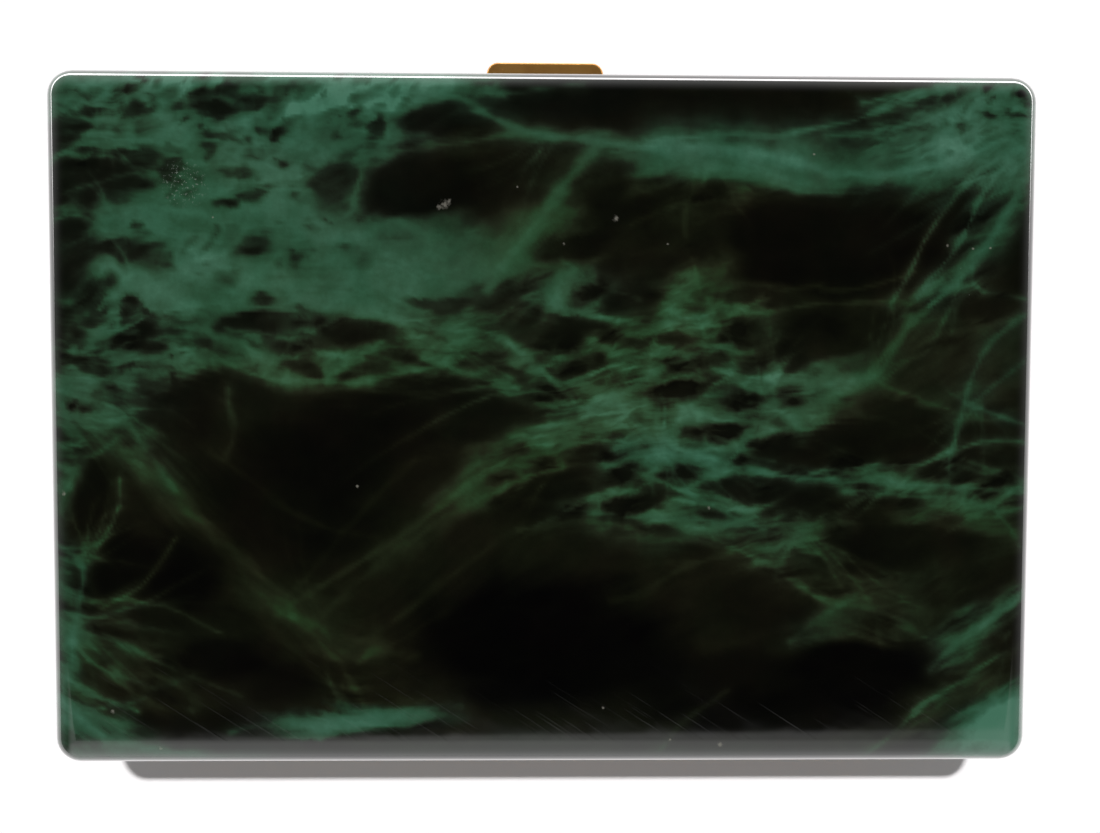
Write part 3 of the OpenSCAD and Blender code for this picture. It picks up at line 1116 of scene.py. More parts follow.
FRONT_MARBLING = Marbling(
    veils=(
        Veil((-38, 25), (19, 15), 0, 0.66, 0.62, 0.9),
        Veil((-16, 17.4), (15, 5.6), -4, 0.66, 0.62, 0.9),
        Veil((-22, 35.6), (24, 3.4), 0, 0.9, 0.85, 0.9),
        Veil((-52, 35), (7, 3), 0, 0.7, 0.8, 0.9),
        Veil((-40, 13), (14, 6), 0, 0.62, 0.6, 0.9),
        Veil((-48, 6), (9, 6), 0, 0.5, 0.55, 0.9),
        Veil((-28, 7.6), (16, 3.6), 5, 0.46, 0.35, 1.0),
        Veil((-6, 8), (12, 5), 2, 0.46, 0.4, 1.0),
        Veil((4, 13.6), (6, 2.6), 0, 0.62, 0.75, 0.9),
        Veil((13, 9), (10, 6), 6, 0.4, 0.35, 1.0),
        Veil((4, 1), (13, 4.6), 6, 0.34, 0.4, 1.0),
        Veil((13.4, -3.4), (6.4, 2), 0, 0.5, 0.7, 0.9),
        Veil((-5, -4.2), (5.6, 3.4), 32, 0.32, 0.3, 1.0),
        Veil((14, -8.6), (12, 4.4), 0, 0.42, 0.5, 1.0),
        Veil((23, 1), (10, 4.6), 12, 0.44, 0.4, 1.0),
        Veil((30, 5), (7, 2.4), 6, 0.5, 0.45, 0.9),
        Veil((19, 17), (9, 8), 10, 0.2, 0.1, 1.2),
        Veil((18, 24), (12, 4.4), 10, 0.17, 0.1, 1.2),
        Veil((49, 33), (9, 5.4), 8, 0.76, 0.8, 0.8),
        Veil((41, 29.6), (8, 1.9), 6, 0.42, 0.7, 0.9),
        Veil((49.6, 21), (2.4, 10), -36, 0.24, 0.6, 0.9),
        Veil((46, 8), (8, 9), 0, 0.2, 0.35, 1.3),
        Veil((37, -6.4), (5, 1.5), 0, 0.58, 0.5, 0.9),
        Veil((47, -6.6), (8, 3), 0, 0.3, 0.5, 1.0),
        Veil((27, -12), (7, 3.6), -8, 0.38, 0.35, 1.0),
        Veil((30, -22), (4, 2), 10, 0.3, 0.5, 1.1),
        Veil((47, -22.4), (7, 2.4), 35, 0.44, 0.65, 1.0),
        Veil((51, -34), (8, 4), 32, 1.0, 0.95, 0.9),
        Veil((-20, -32.6), (9, 1.5), 2, 0.76, 0.85, 1.0),
        Veil((-47, -34), (9, 2.4), -20, 0.6, 0.8, 1.0),
        Veil((-52.6, -24), (2.2, 12), 0, 0.5, 0.7, 0.9),
        Veil((-52.4, -2), (2.4, 8), 0, 0.4, 0.6, 1.0),
        Veil((-26, -19), (14, 6), -35, 0.1, 0.05, 1.3),
        Veil((-16, -27), (12, 5), -14, 0.09, 0.1, 1.3),
        Veil((44, -14), (11, 8), 0, 0.2, 0.3, 1.3),
        Veil((-44, -27), (12, 6), -20, 0.12, 0.25, 1.3),
        Veil((34, -20), (12, 3), -14, 0.2, 0.2, 1.3),
        Veil((0, -36.4), (50, 1.6), 0, 0.2, 0.5, 1.2),
        Veil((42, -31), (10, 4), 25, 0.2, 0.4, 1.2),
        Veil((4, 30.4), (10, 1.3), 0, 0.5, 0.5, 1.0),
        Veil((-43, -36.6), (13, 1.5), 0, 0.5, 0.8, 1.0),
        Veil((-26, 32.4), (12, 4.4), -6, 0.64, 0.8, 0.9),
        Veil((-16.4, 32.4), (5, 3.2), 0, 0.56, 0.75, 0.9),
        Veil((26, 27.8), (17, 2.2), -3, 0.56, 0.6, 1.0),
        Veil((-35, 22), (9, 5), 0, 0.68, 0.62, 0.9),
        Veil((-24, 13.4), (13, 4.6), 0, 0.62, 0.5, 0.9),
        Veil((-45, 11), (9, 7), 0, 0.55, 0.5, 0.9),
        Veil((8, 13), (10, 3.6), 4, 0.46, 0.35, 1.0),
        Veil((0, 20), (6, 4), 0, 0.36, 0.3, 1.0),
        Veil((-22, 3), (16, 4), 0, 0.24, 0.25, 1.2),
        Veil((25, 1.6), (5, 3.4), 0, 0.52, 0.45, 1.0),
        Veil((16, 19), (6, 6), 0, 0.26, 0.1, 1.2),
        Veil((49, -12), (4, 4), 0, 0.34, 0.4, 1.1),
        Veil((38, 1), (8, 3), 0, 0.26, 0.3, 1.2),
        Veil((-14, 10), (32, 7), 3, 0.2, 0.45, 1.1),
        Veil((-46, 9), (10, 11), 0, 0.2, 0.5, 1.1),
        Veil((9, 16), (13, 6), 8, 0.2, 0.3, 1.2),
        Veil((-37, 32.6), (12, 4), 0, 0.42, 0.8, 1.0),
        Veil((-25, 34), (9, 3), 0, 0.42, 0.9, 1.0),
        Veil((-47, 23), (8, 6), 0, 0.2, 0.6, 1.1),
        Veil((-30, 36.8), (26, 1.4), 0, 0.8, 0.9, 0.8),
        Veil((6, 26), (8, 5), 20, 0.14, 0.2, 1.2),
    ),
    hollows=(
        Hollow((-49, 26), (6.6, 3.1), 6, 0.9),
        Hollow((-49.5, 32.4), (2.6, 1.2), 0, 0.75),
        Hollow((-52, 30.3), (3, 1.2), 0, 0.7),
        Hollow((-43, 28.8), (2.6, 1.1), 0, 0.8),
        Hollow((-39.8, 27.3), (1.4, 0.8), 0, 0.7),
        Hollow((-31.5, 34.7), (6.2, 1.4), 10, 0.66),
        Hollow((-35.4, 32.9), (2.2, 0.8), 0, 0.8),
        Hollow((-33, 27.3), (1.8, 0.6), 5, 0.6),
        Hollow((-31.5, 24.8), (2, 0.8), 12, 0.65),
        Hollow((-34.2, 23.3), (1.4, 0.6), 0, 0.6),
        Hollow((-31, 18.8), (1.7, 1.1), 20, 0.66, 1.3),
        Hollow((-44.6, 18.2), (2.7, 1.5), 0, 0.85),
        Hollow((-43, 21), (1, 0.5), 0, 0.6),
        Hollow((-51, 18), (3.2, 4.2), -20, 0.8),
        Hollow((-51, 12), (3.4, 3.2), 0, 0.45),
        Hollow((-23, 25.8), (2.8, 2.2), 35, 0.72, 0.9),
        Hollow((-18.6, 31), (1.0, 0.8), 30, 0.7),
        Hollow((-13.6, 25.4), (6.4, 3.1), 4, 0.95, 0.6),
        Hollow((-3.6, 26.3), (7.4, 2.6), 12, 0.8, 0.9),
        Hollow((-10.6, 31.4), (6.0, 2.0), -6, 0.93, 0.6),
        Hollow((6, 33.9), (16, 2.9), -3, 0.97, bare=0.3),
        Hollow((28, 34), (15, 2.4), 3, 0.97),
        Hollow((-36, 11.8), (1.7, 0.7), 8, 0.5, 1.3),
        Hollow((-30.2, 12.8), (1.4, 0.6), 8, 0.5, 1.3),
        Hollow((-27.4, 10.9), (1.7, 0.7), 8, 0.5, 1.3),
        Hollow((-38, 8.6), (2.2, 1), 0, 0.55),
        Hollow((-20, 9.4), (4.2, 1.4), 5, 0.7),
        Hollow((-26.4, 6.8), (2.2, 0.7), 5, 0.6),
        Hollow((-49, 4.8), (1.6, 0.8), 0, 0.7),
        Hollow((-36.5, 2), (6, 3.1), 6, 0.95),
        Hollow((-44, 1), (2.4, 2.2), 0, 0.8),
        Hollow((-24, -2), (10, 5.6), 0, 0.95),
        Hollow((-11, 1.2), (9, 3), -6, 0.85),
        Hollow((-11, 12.7), (4.4, 1), 5, 0.7),
        Hollow((-5, 12.6), (2.6, 0.8), 12, 0.7),
        Hollow((0, 9.4), (4.6, 1.9), -4, 0.8),
        Hollow((-8, 5.8), (3.2, 1), 4, 0.7),
        Hollow((6, 25.4), (3.8, 2.4), 22, 0.85),
        Hollow((11, 23), (7, 1.7), 12, 0.6),
        Hollow((9, 20), (6, 1.7), 10, 0.6),
        Hollow((15, 22), (6, 5), 0, 0.7, 0.9),
        Hollow((3, 19), (4, 1.7), 8, 0.9),
        Hollow((9.5, 16.2), (4.6, 2.1), 10, 0.7),
        Hollow((14, 9.5), (3.2, 0.8), 6, 0.6),
        Hollow((12.6, 4.8), (3.6, 1), 10, 0.75),
        Hollow((6, 5), (2.2, 0.6), 6, 0.6),
        Hollow((12, 0.7), (3, 0.6), 4, 0.65),
        Hollow((6, -2.7), (3.4, 0.7), 12, 0.75),
        Hollow((4, -6.6), (5, 1.5), 0, 0.75),
        Hollow((13, -7.4), (3.6, 1.2), 8, 0.8),
        Hollow((22, -7.2), (4, 1.1), -4, 0.8),
        Hollow((21, 14), (2, 1.2), 0, 0.6),
        Hollow((31, 19.5), (12, 5.8), 0, 0.97, 0.3, bare=0.4),
        Hollow((30, 10.4), (3.4, 1.1), 4, 0.8),
        Hollow((26, 7), (2, 0.9), 10, 0.6),
        Hollow((42.4, 28.8), (1.3, 0.5), 0, 0.7),
        Hollow((36, 32.3), (5, 0.7), 12, 0.6),
        Hollow((46.6, 25), (4.2, 1.9), 42, 0.93),
        Hollow((53, 18.5), (3.4, 5.2), -14, 0.92),
        Hollow((47.5, 12.6), (4.6, 1.5), 0, 0.6),
        Hollow((38.5, 1.5), (5, 1.6), -20, 0.7),
        Hollow((34.5, -1.6), (6, 2.1), 0, 0.8),
        Hollow((42, -2), (4, 2), 10, 0.7),
        Hollow((46.5, -4.6), (5, 1.2), 2, 0.85),
        Hollow((26.5, -4.4), (4.4, 2), 0, 0.85),
        Hollow((36, -8.4), (4, 0.8), 0, 0.7),
        Hollow((38, -13.6), (9, 2.7), 4, 0.85),
        Hollow((46, -16), (7, 4), 0, 0.6),
        Hollow((24, -19.6), (6, 3.2), 0, 0.9),
        Hollow((35, -27), (9, 4.6), 4, 0.98, bare=0.9),
        Hollow((26, -31.5), (14, 2.4), 0, 0.95, bare=0.6),
        Hollow((0, -24), (16, 7.5), 0, 0.98, bare=0.98),
        Hollow((-28, -10), (9, 8.4), 0, 0.8, 0.9, bare=0.5),
        Hollow((-39, -16.2), (4.4, 4.4), 0, 0.97, bare=0.75),
        Hollow((-45.4, -15.4), (4, 3.4), 0, 0.95, bare=0.5),
        Hollow((-35, -26), (5.5, 2.2), 0, 0.95, bare=0.5),
        Hollow((-26.5, -28), (4.6, 1.8), 0, 0.95),
        Hollow((-49, -8.5), (1.5, 5), -6, 0.9),
        Hollow((-38, -33), (7, 2), 0, 0.8),
        Hollow((-42.4, 17), (3.4, 1.9), 0, 0.5),
        Hollow((-30, -28), (6, 3), 0, 0.3, bare=0.5),
        Hollow((19, -28), (9, 3.4), 0, 0.6, bare=0.6),
        Hollow((-20, -4), (9, 6), 0, 0.2, bare=0.35),
    ),
    veins=(
        Vein(
            ((-15, 35.6), (-10, 34.7), (-5.5, 32.3), (-2, 31), (3, 30.2), (8, 29.8), (13, 29.6)),
            0.9, 0.6, 0.75,
        ),
        Vein(((-9, 35.8), (-5, 34.9), (0, 35.6), (4, 36.2)), 0.5, 0.4, 0.7),
        Vein(((11, 29.6), (16, 29.6), (22, 29), (27, 28.2)), 1.9, 0.92, 0.8),
        Vein(((26, 28.3), (32, 26.9), (38, 27), (44, 28.4), (50, 30.4)), 1.3, 0.8, 0.75),
        Vein(((11, 30.4), (18, 31), (25, 30.9), (30, 31.6)), 0.8, 0.6, 0.7),
        Vein(((27, 31), (33, 32.6), (38, 34.6), (44, 36)), 0.6, 0.62, 0.7),
        Vein(((30, 30.6), (36, 31.4), (42, 33), (47, 35)), 0.55, 0.6, 0.75),
        Vein(((34, 34.6), (40, 35.6), (46, 36.4)), 0.5, 0.5, 0.7),
        Vein(
            ((5.6, 29.6), (3.2, 27), (1.2, 24.4), (-0.8, 21.4), (-3.6, 17.6), (-6, 14.5)),
            1.8, 0.56, 0.5,
        ),
        Vein(((-20.4, 28), (-14, 29), (-8, 30), (-3.4, 30.8)), 0.7, 0.42, 0.45),
        Vein(((-19.4, 29.6), (-19.8, 27), (-20.4, 23.6)), 0.8, 0.34, 0.4),
        Vein(((53.5, 29.5), (51, 25), (48.6, 20.6), (46, 16.6), (42, 13)), 1.0, 0.7, 0.75, 0.5),
        Vein(((50, 28.4), (47.4, 24.6), (44.8, 19.8), (42.4, 16.4), (40.5, 13.5)), 0.6, 0.6, 0.65),
        Vein(((46.6, 27.4), (44, 24), (41.4, 20.6), (39.5, 16.5), (37.4, 12.5)), 0.45, 0.42, 0.5),
        Vein(((42.5, 13.4), (39.8, 11), (38, 8.4), (36.4, 5.6), (33.6, 4.6)), 1.0, 0.5, 0.45),
        Vein(((46.5, 17.5), (46.8, 14.6), (50, 13.8), (54, 13.4)), 0.4, 0.45, 0.6),
        Vein(((41, 12.8), (36, 13.2), (30, 12.8), (24, 12), (20, 11.4)), 0.5, 0.24, 0.15),
        Vein(((40, 16.6), (35, 14.8), (30, 14.4)), 0.4, 0.2, 0.15),
        Vein(((36, 5), (30, 4.2), (26, 2.6), (21, 0.6), (16, 0)), 1.2, 0.55, 0.5),
        Vein(((54, 12.4), (50.6, 10.6), (47.6, 7.6), (46, 3.4), (44.8, -1), (44.4, -5)), 0.7, 0.45, 0.7),
        Vein(((54, 8), (50, 5), (46.4, 2.2)), 0.5, 0.35, 0.7),
        Vein(((46, 2), (50, 0.6), (54, -0.6)), 0.6, 0.55, 0.75),
        Vein(((36, 4.6), (40, 3), (44, 1.4), (48, 0.4)), 0.4, 0.26, 0.3),
        Vein(
            ((20, 8.6), (14, 6.6), (8, 3.2), (3, 0.8), (-3, -2), (-8, -5.2), (-13, -9)),
            0.8, 0.46, 0.5, 0.12,
        ),
        Vein(((20, 3.2), (12, 2.6), (5, 1.6), (0, 0.6)), 0.6, 0.36, 0.6),
        Vein(((-20, 11.6), (-12, 10.2), (-6, 9.4), (-1.5, 6.4), (3, 2.6)), 0.9, 0.45, 0.5),
        Vein(((-38, 8.2), (-31, 5), (-24, 4.6), (-17, 4.8), (-9, 6.8)), 0.7, 0.42, 0.35),
        Vein(((-34, 10), (-28, 9), (-22, 7.2), (-14, 8.2)), 0.5, 0.4, 0.4),
        Vein(((-4, 3), (2, 4), (8, 6.4), (14, 8)), 0.6, 0.4, 0.5),
        Vein(((-2, 13.4), (4, 12), (10, 11), (17, 11.4)), 0.7, 0.4, 0.6),
        Vein(((2, 17.4), (6, 14.4), (10, 13.2)), 0.5, 0.3, 0.5),
        Vein(((16, 26), (15, 20), (17, 14), (21, 12)), 0.6, 0.16, 0.1),
        Vein(((9, 21), (14, 23.4), (20, 24.6), (25, 26)), 0.6, 0.2, 0.15),
        Vein(((19, 11), (24, 13.6), (30, 15)), 0.5, 0.2, 0.1),
        Vein(((-53.5, 4), (-49.5, 2.2), (-46.4, 0), (-43, -3.6), (-40, -7.4)), 1.0, 0.5, 0.55, 0.4),
        Vein(((-48.4, 2), (-44.6, -3), (-41.6, -6.4), (-38.6, -9.6)), 2.1, 0.36, 0.3, 0.24),
        Vein(
            ((-40.5, -6.6), (-38, -9.6), (-34.6, -13.2), (-31, -16.8), (-27, -21.2)),
            1.2, 0.3, 0.12, 0.2,
        ),
        Vein(((-28, -20), (-25, -23.4), (-21.6, -27.6), (-19.4, -31)), 1.0, 0.18, 0.15, 0.22),
        Vein(((-31, -18), (-26, -21.4), (-20, -24), (-14, -25.4)), 1.4, 0.12, 0.05),
        Vein(((-36, -3), (-30, -8), (-22, -12), (-16, -13)), 0.8, 0.08, 0.05),
        Vein(((-14, -4), (-20, -10), (-25, -16), (-29, -20)), 0.9, 0.08, 0.05),
        Vein(((-38, -10), (-34, -15), (-29.6, -19.8), (-25, -25)), 1.2, 0.1, 0.05),
        Vein(((-29, -21), (-23.6, -17.4), (-18, -14), (-12.4, -10), (-8, -6.4)), 0.9, 0.16, 0.1, 0.25),
        Vein(((-26, -22.6), (-20, -17.4), (-14, -12.4), (-8, -8.6)), 1.0, 0.08, 0.1, 0.16),
        Vein(((-22, -25), (-16, -21.4), (-10, -16.6), (-3, -12)), 0.9, 0.09, 0.1, 0.14),
        Vein(((-3, -12), (3, -10.8), (9, -11.4), (15, -13)), 0.7, 0.22, 0.3),
        Vein(((20, -14.4), (15.4, -16), (11, -18.6), (7.4, -19.4)), 1.0, 0.26, 0.2, 0.14),
        Vein(((16, -3), (22, -5), (29, -6), (37, -6.4), (45, -7), (54, -8)), 0.7, 0.62, 0.65),
        Vein(((29, -5.4), (35, -4.6), (41, -4.4), (45, -3), (50, -1.8), (54, -2.4)), 0.45, 0.52, 0.6),
        Vein(((33, -7.2), (40, -8), (46, -8.4), (50, -9.6), (54, -9)), 0.45, 0.42, 0.6),
        Vein(((44, -6.8), (48, -8.6), (50.6, -11), (52, -13.6)), 0.4, 0.34, 0.6),
        Vein(((8, -3.6), (13.6, -3.4), (18.6, -3.8)), 1.4, 0.62, 0.8),
        Vein(((14, -4), (10, -6.4), (4, -8.8), (-1, -11.4)), 0.6, 0.36, 0.5),
        Vein(((6, -4.6), (12, -6), (19, -9.4), (24, -11.6)), 0.6, 0.42, 0.6),
        Vein(((2, -9.6), (9, -10.2), (16, -10.4), (23, -11.2)), 0.6, 0.44, 0.6),
        Vein(((22, -2), (20, -4.6), (17.6, -6)), 0.6, 0.5, 0.6),
        Vein(((18.6, -12.6), (24, -15.6), (30, -19), (36, -20.6), (42, -23.4)), 0.9, 0.4, 0.35, 0.2),
        Vein(((30, -10.4), (27, -13), (25, -17)), 0.9, 0.34, 0.4),
        Vein(((34, -19), (30, -21.4), (27, -24)), 0.8, 0.26, 0.5),
        Vein(((54, -17.4), (50.4, -20.6), (46, -23.6), (42.4, -27)), 0.9, 0.48, 0.7, 0.36),
        Vein(((54, -24), (49, -26), (45, -29), (41, -31.4)), 0.6, 0.3, 0.6),
        Vein(((54, -29.4), (50.6, -33), (46, -35.4), (41, -38)), 1.4, 0.62, 0.8),
        Vein(((42, -31), (38, -34.4), (35, -37.4)), 0.5, 0.34, 0.6),
        Vein(((20, -29.4), (15.6, -32.6), (13, -36)), 0.5, 0.2, 0.4),
        Vein(((-53.4, -13), (-49.8, -15.6), (-50.4, -20), (-51.4, -26), (-52.6, -33)), 0.7, 0.5, 0.75),
        Vein(((-45.6, -6), (-46.4, -10.4), (-49.2, -15)), 0.5, 0.34, 0.4),
        Vein(((-39.6, -12.6), (-43.6, -17.6), (-48, -20.2)), 0.45, 0.26, 0.3),
        Vein(((-51.4, -20), (-46, -19), (-40.6, -20.4), (-35, -23)), 0.45, 0.26, 0.3),
        Vein(((-51, -21.4), (-46, -24.2), (-40, -26.8), (-33, -30)), 0.5, 0.34, 0.4, 0.16),
        Vein(((-51.6, -23.4), (-47.6, -26.8), (-43, -28.8), (-38, -31.6)), 0.45, 0.36, 0.45, 0.16),
        Vein(((-52, -27.4), (-48, -30), (-44, -31.6)), 0.5, 0.42, 0.6),
        Vein(((-53, -30.4), (-48.6, -33.4), (-43, -35.4), (-37, -36.6)), 0.9, 0.6, 0.8),
        Vein(((-34, -33.8), (-28, -32.6), (-22, -33), (-16, -31.8), (-9, -30.8)), 0.8, 0.5, 0.8, 0.2),
        Vein(((-53, -2), (-49.4, -4), (-46, -2)), 0.5, 0.32, 0.5),
        Vein(((-53, 21.4), (-48.6, 21.6), (-44.4, 16.4), (-47.6, 12)), 0.45, 0.4, 0.6),
        Vein(((-54, 27.2), (-50, 29.3), (-46, 29.9), (-41, 30)), 0.5, 0.45, 0.7),
        Vein(((-52, 24), (-47, 25.6), (-43, 26.8)), 0.3, 0.22, 0.4),
        Vein(((-34, 3.4), (-33.4, -1), (-34.4, -4)), 0.9, 0.26, 0.3, 0.1),
    ),
    fans=(
        Fan((53, 32), 222, 46, 10, 22, 0.39, 0.47, 0.8),
        Fan((47, 31), 190, 44, 9, 17, 0.34, 0.39, 0.75),
        Fan((44, 33.6), 186, 30, 6, 16, 0.34, 0.39, 0.7),
        Fan((46, 17), 235, 60, 8, 13, 0.32, 0.31, 0.5),
        Fan((36, 5.4), 60, 70, 8, 13, 0.32, 0.27, 0.35),
        Fan((-53, 3.6), -26, 110, 16, 15, 0.34, 0.37, 0.55),
        Fan((-45, 0), -50, 50, 7, 12, 0.34, 0.31, 0.45),
        Fan((-52, -22), -14, 84, 15, 16, 0.34, 0.33, 0.5),
        Fan((-50, -15), 40, 120, 9, 10, 0.32, 0.27, 0.4),
        Fan((-53, -30), -30, 50, 9, 16, 0.37, 0.39, 0.7),
        Fan((13, -3.6), 20, 340, 26, 9, 0.34, 0.39, 0.7),
        Fan((16, -3.6), -20, 60, 9, 16, 0.34, 0.35, 0.6),
        Fan((4, 1), 20, 70, 12, 20, 0.34, 0.35, 0.5),
        Fan((-4, 4), 172, 60, 10, 20, 0.34, 0.28, 0.35),
        Fan((2, -4), 200, 70, 9, 18, 0.41, 0.12, 0.1),
        Fan((20, 6), 190, 60, 10, 16, 0.32, 0.33, 0.45),
        Fan((24, 3), 60, 110, 9, 10, 0.34, 0.23, 0.3),
        Fan((-20, -26), 42, 50, 7, 24, 0.46, 0.07, 0.05),
        Fan((-24, -23), 130, 50, 6, 18, 0.46, 0.062, 0.05),
        Fan((54, -7.6), 180, 56, 11, 17, 0.32, 0.35, 0.6),
        Fan((47, 2), 250, 200, 10, 9, 0.3, 0.28, 0.6),
        Fan((38, -6.4), 186, 80, 9, 11, 0.32, 0.33, 0.5),
        Fan((28, -11), 200, 90, 8, 11, 0.34, 0.27, 0.4),
        Fan((29, -13), -36, 40, 6, 16, 0.41, 0.23, 0.3),
        Fan((54, -30), 214, 46, 9, 18, 0.41, 0.39, 0.8),
        Fan((54, -18), 212, 34, 6, 15, 0.41, 0.31, 0.7),
        Fan((-5, 35.4), 196, 40, 8, 12, 0.32, 0.31, 0.7),
        Fan((-47, 31), 20, 300, 16, 9, 0.28, 0.28, 0.7),
        Fan((-45, 22), 200, 160, 12, 9, 0.28, 0.31, 0.65),
        Fan((-18, 28), 20, 40, 6, 16, 0.25, 0.17, 0.5),
        Fan((0, 29.6), 230, 50, 6, 12, 0.34, 0.23, 0.5),
        Fan((18, 27.6), 250, 90, 7, 9, 0.39, 0.19, 0.3),
        Fan((-22, -31), 130, 70, 7, 9, 0.39, 0.2, 0.4),
    ),
    froths=(
        Froth((-40, 32.6), (14, 4.8), 120, 0.22, 0.8, 1.9, 8, 0.5),
        Froth((-20, 33.6), (13, 3.4), 60, 0.2, 0.6, 2.2, 22, 0.3),
        Froth((-30, 22), (14, 8), 60, 0.22, 0.8, 1.7, 8, 0.36),
        Froth((-47, 7), (8, 6), 90, 0.25, 0.9, 1.6, 10, 0.62),
        Froth((-30, 8.4), (14, 4.6), 44, 0.4, 1.2, 2.6, 8, 0.6),
        Froth((2, 9), (18, 6.4), 60, 0.45, 1.3, 3.0, 6, 0.62),
        Froth((14, 2), (14, 4.6), 46, 0.4, 1.0, 3.0, 5, 0.66),
        Froth((16, -8), (16, 5), 52, 0.4, 1.1, 3.0, 3, 0.66),
        Froth((25, 3), (9, 6), 24, 0.5, 1.2, 2.2, 14, 0.6),
        Froth((46.6, 33), (7.4, 3.6), 60, 0.22, 0.55, 1.8, 10, 0.66),
        Froth((36, -6.6), (17, 2.6), 26, 0.4, 0.9, 3.2, 4, 0.7),
        Froth((-49, -26), (6, 9), 24, 0.4, 1.0, 2.2, -20, 0.6),
        Froth((-50, 20), (4, 12), 24, 0.4, 1.0, 1.8, 20, 0.7),
        Froth((28, -13), (8, 4), 16, 0.4, 0.9, 2.4, -10, 0.55),
    ),
    nets=(
        Veil((12, 4), (20, 13), 0, 0.95, 1, 0.9),
        Veil((14, -6), (18, 6), 0, 0.9, 1, 0.9),
        Veil((-14, 8), (26, 5), 4, 0.7, 1, 0.9),
        Veil((-46, 6), (12, 9), 0, 0.75, 1, 0.9),
        Veil((40, -6), (18, 4.6), 0, 0.7, 1, 0.9),
        Veil((46, 31), (12, 7), 0, 0.75, 1, 0.9),
        Veil((47, 18), (7, 12), -30, 0.6, 1, 0.9),
        Veil((-38, 30), (22, 9), 0, 0.6, 1, 0.9),
        Veil((-34, 18), (24, 8), 0, 0.34, 1, 0.9),
        Veil((-51, -14), (8, 26), 0, 0.6, 1, 0.9),
        Veil((-46, -26), (12, 10), 0, 0.55, 1, 0.9),
        Veil((30, -14), (14, 7), 0, 0.55, 1, 0.9),
        Veil((16, 22), (14, 8), 0, 0.42, 1, 0.9),
        Veil((46, -26), (12, 12), 0, 0.5, 1, 0.9),
        Veil((-20, -32), (14, 4), 0, 0.5, 1, 0.9),
    ),
    seed=11,
)

BACK_MARBLING = FRONT_MARBLING.turned_round(53)


# ------------------------------------------------------------------ finishes


# Specks of dust: X and Y from the middle of the face, and the radius, in millimetres.
FLECKS: tuple[Place, ...] = (
    (-10.8, 23.3, 0.4),
    (-11.4, 23.0, 0.25),
    (-10.3, 23.6, 0.25),
    (-3.0, 25.2, 0.12),
    (7.6, 21.9, 0.28),
    (2.0, 19.2, 0.12),
    (13.2, 19.2, 0.12),
    (-20.2, -7.0, 0.16),
    (17.9, -9.3, 0.16),
    (-52.1, 24.8, 0.16),
    (-35.5, 21.8, 0.12),
    (43.5, 19.2, 0.14),
    (46.3, 18.9, 0.14),
    (48.2, 19.0, 0.14),
    (28.9, 28.9, 0.12),
    (-46.8, -31.6, 0.2),
    (-41.7, -35.7, 0.2),
    (6.5, -31.3, 0.14),
    (13.9, -34.8, 0.14),
    (19.4, -35.4, 0.28),
    (-51.8, -7.8, 0.25),
)


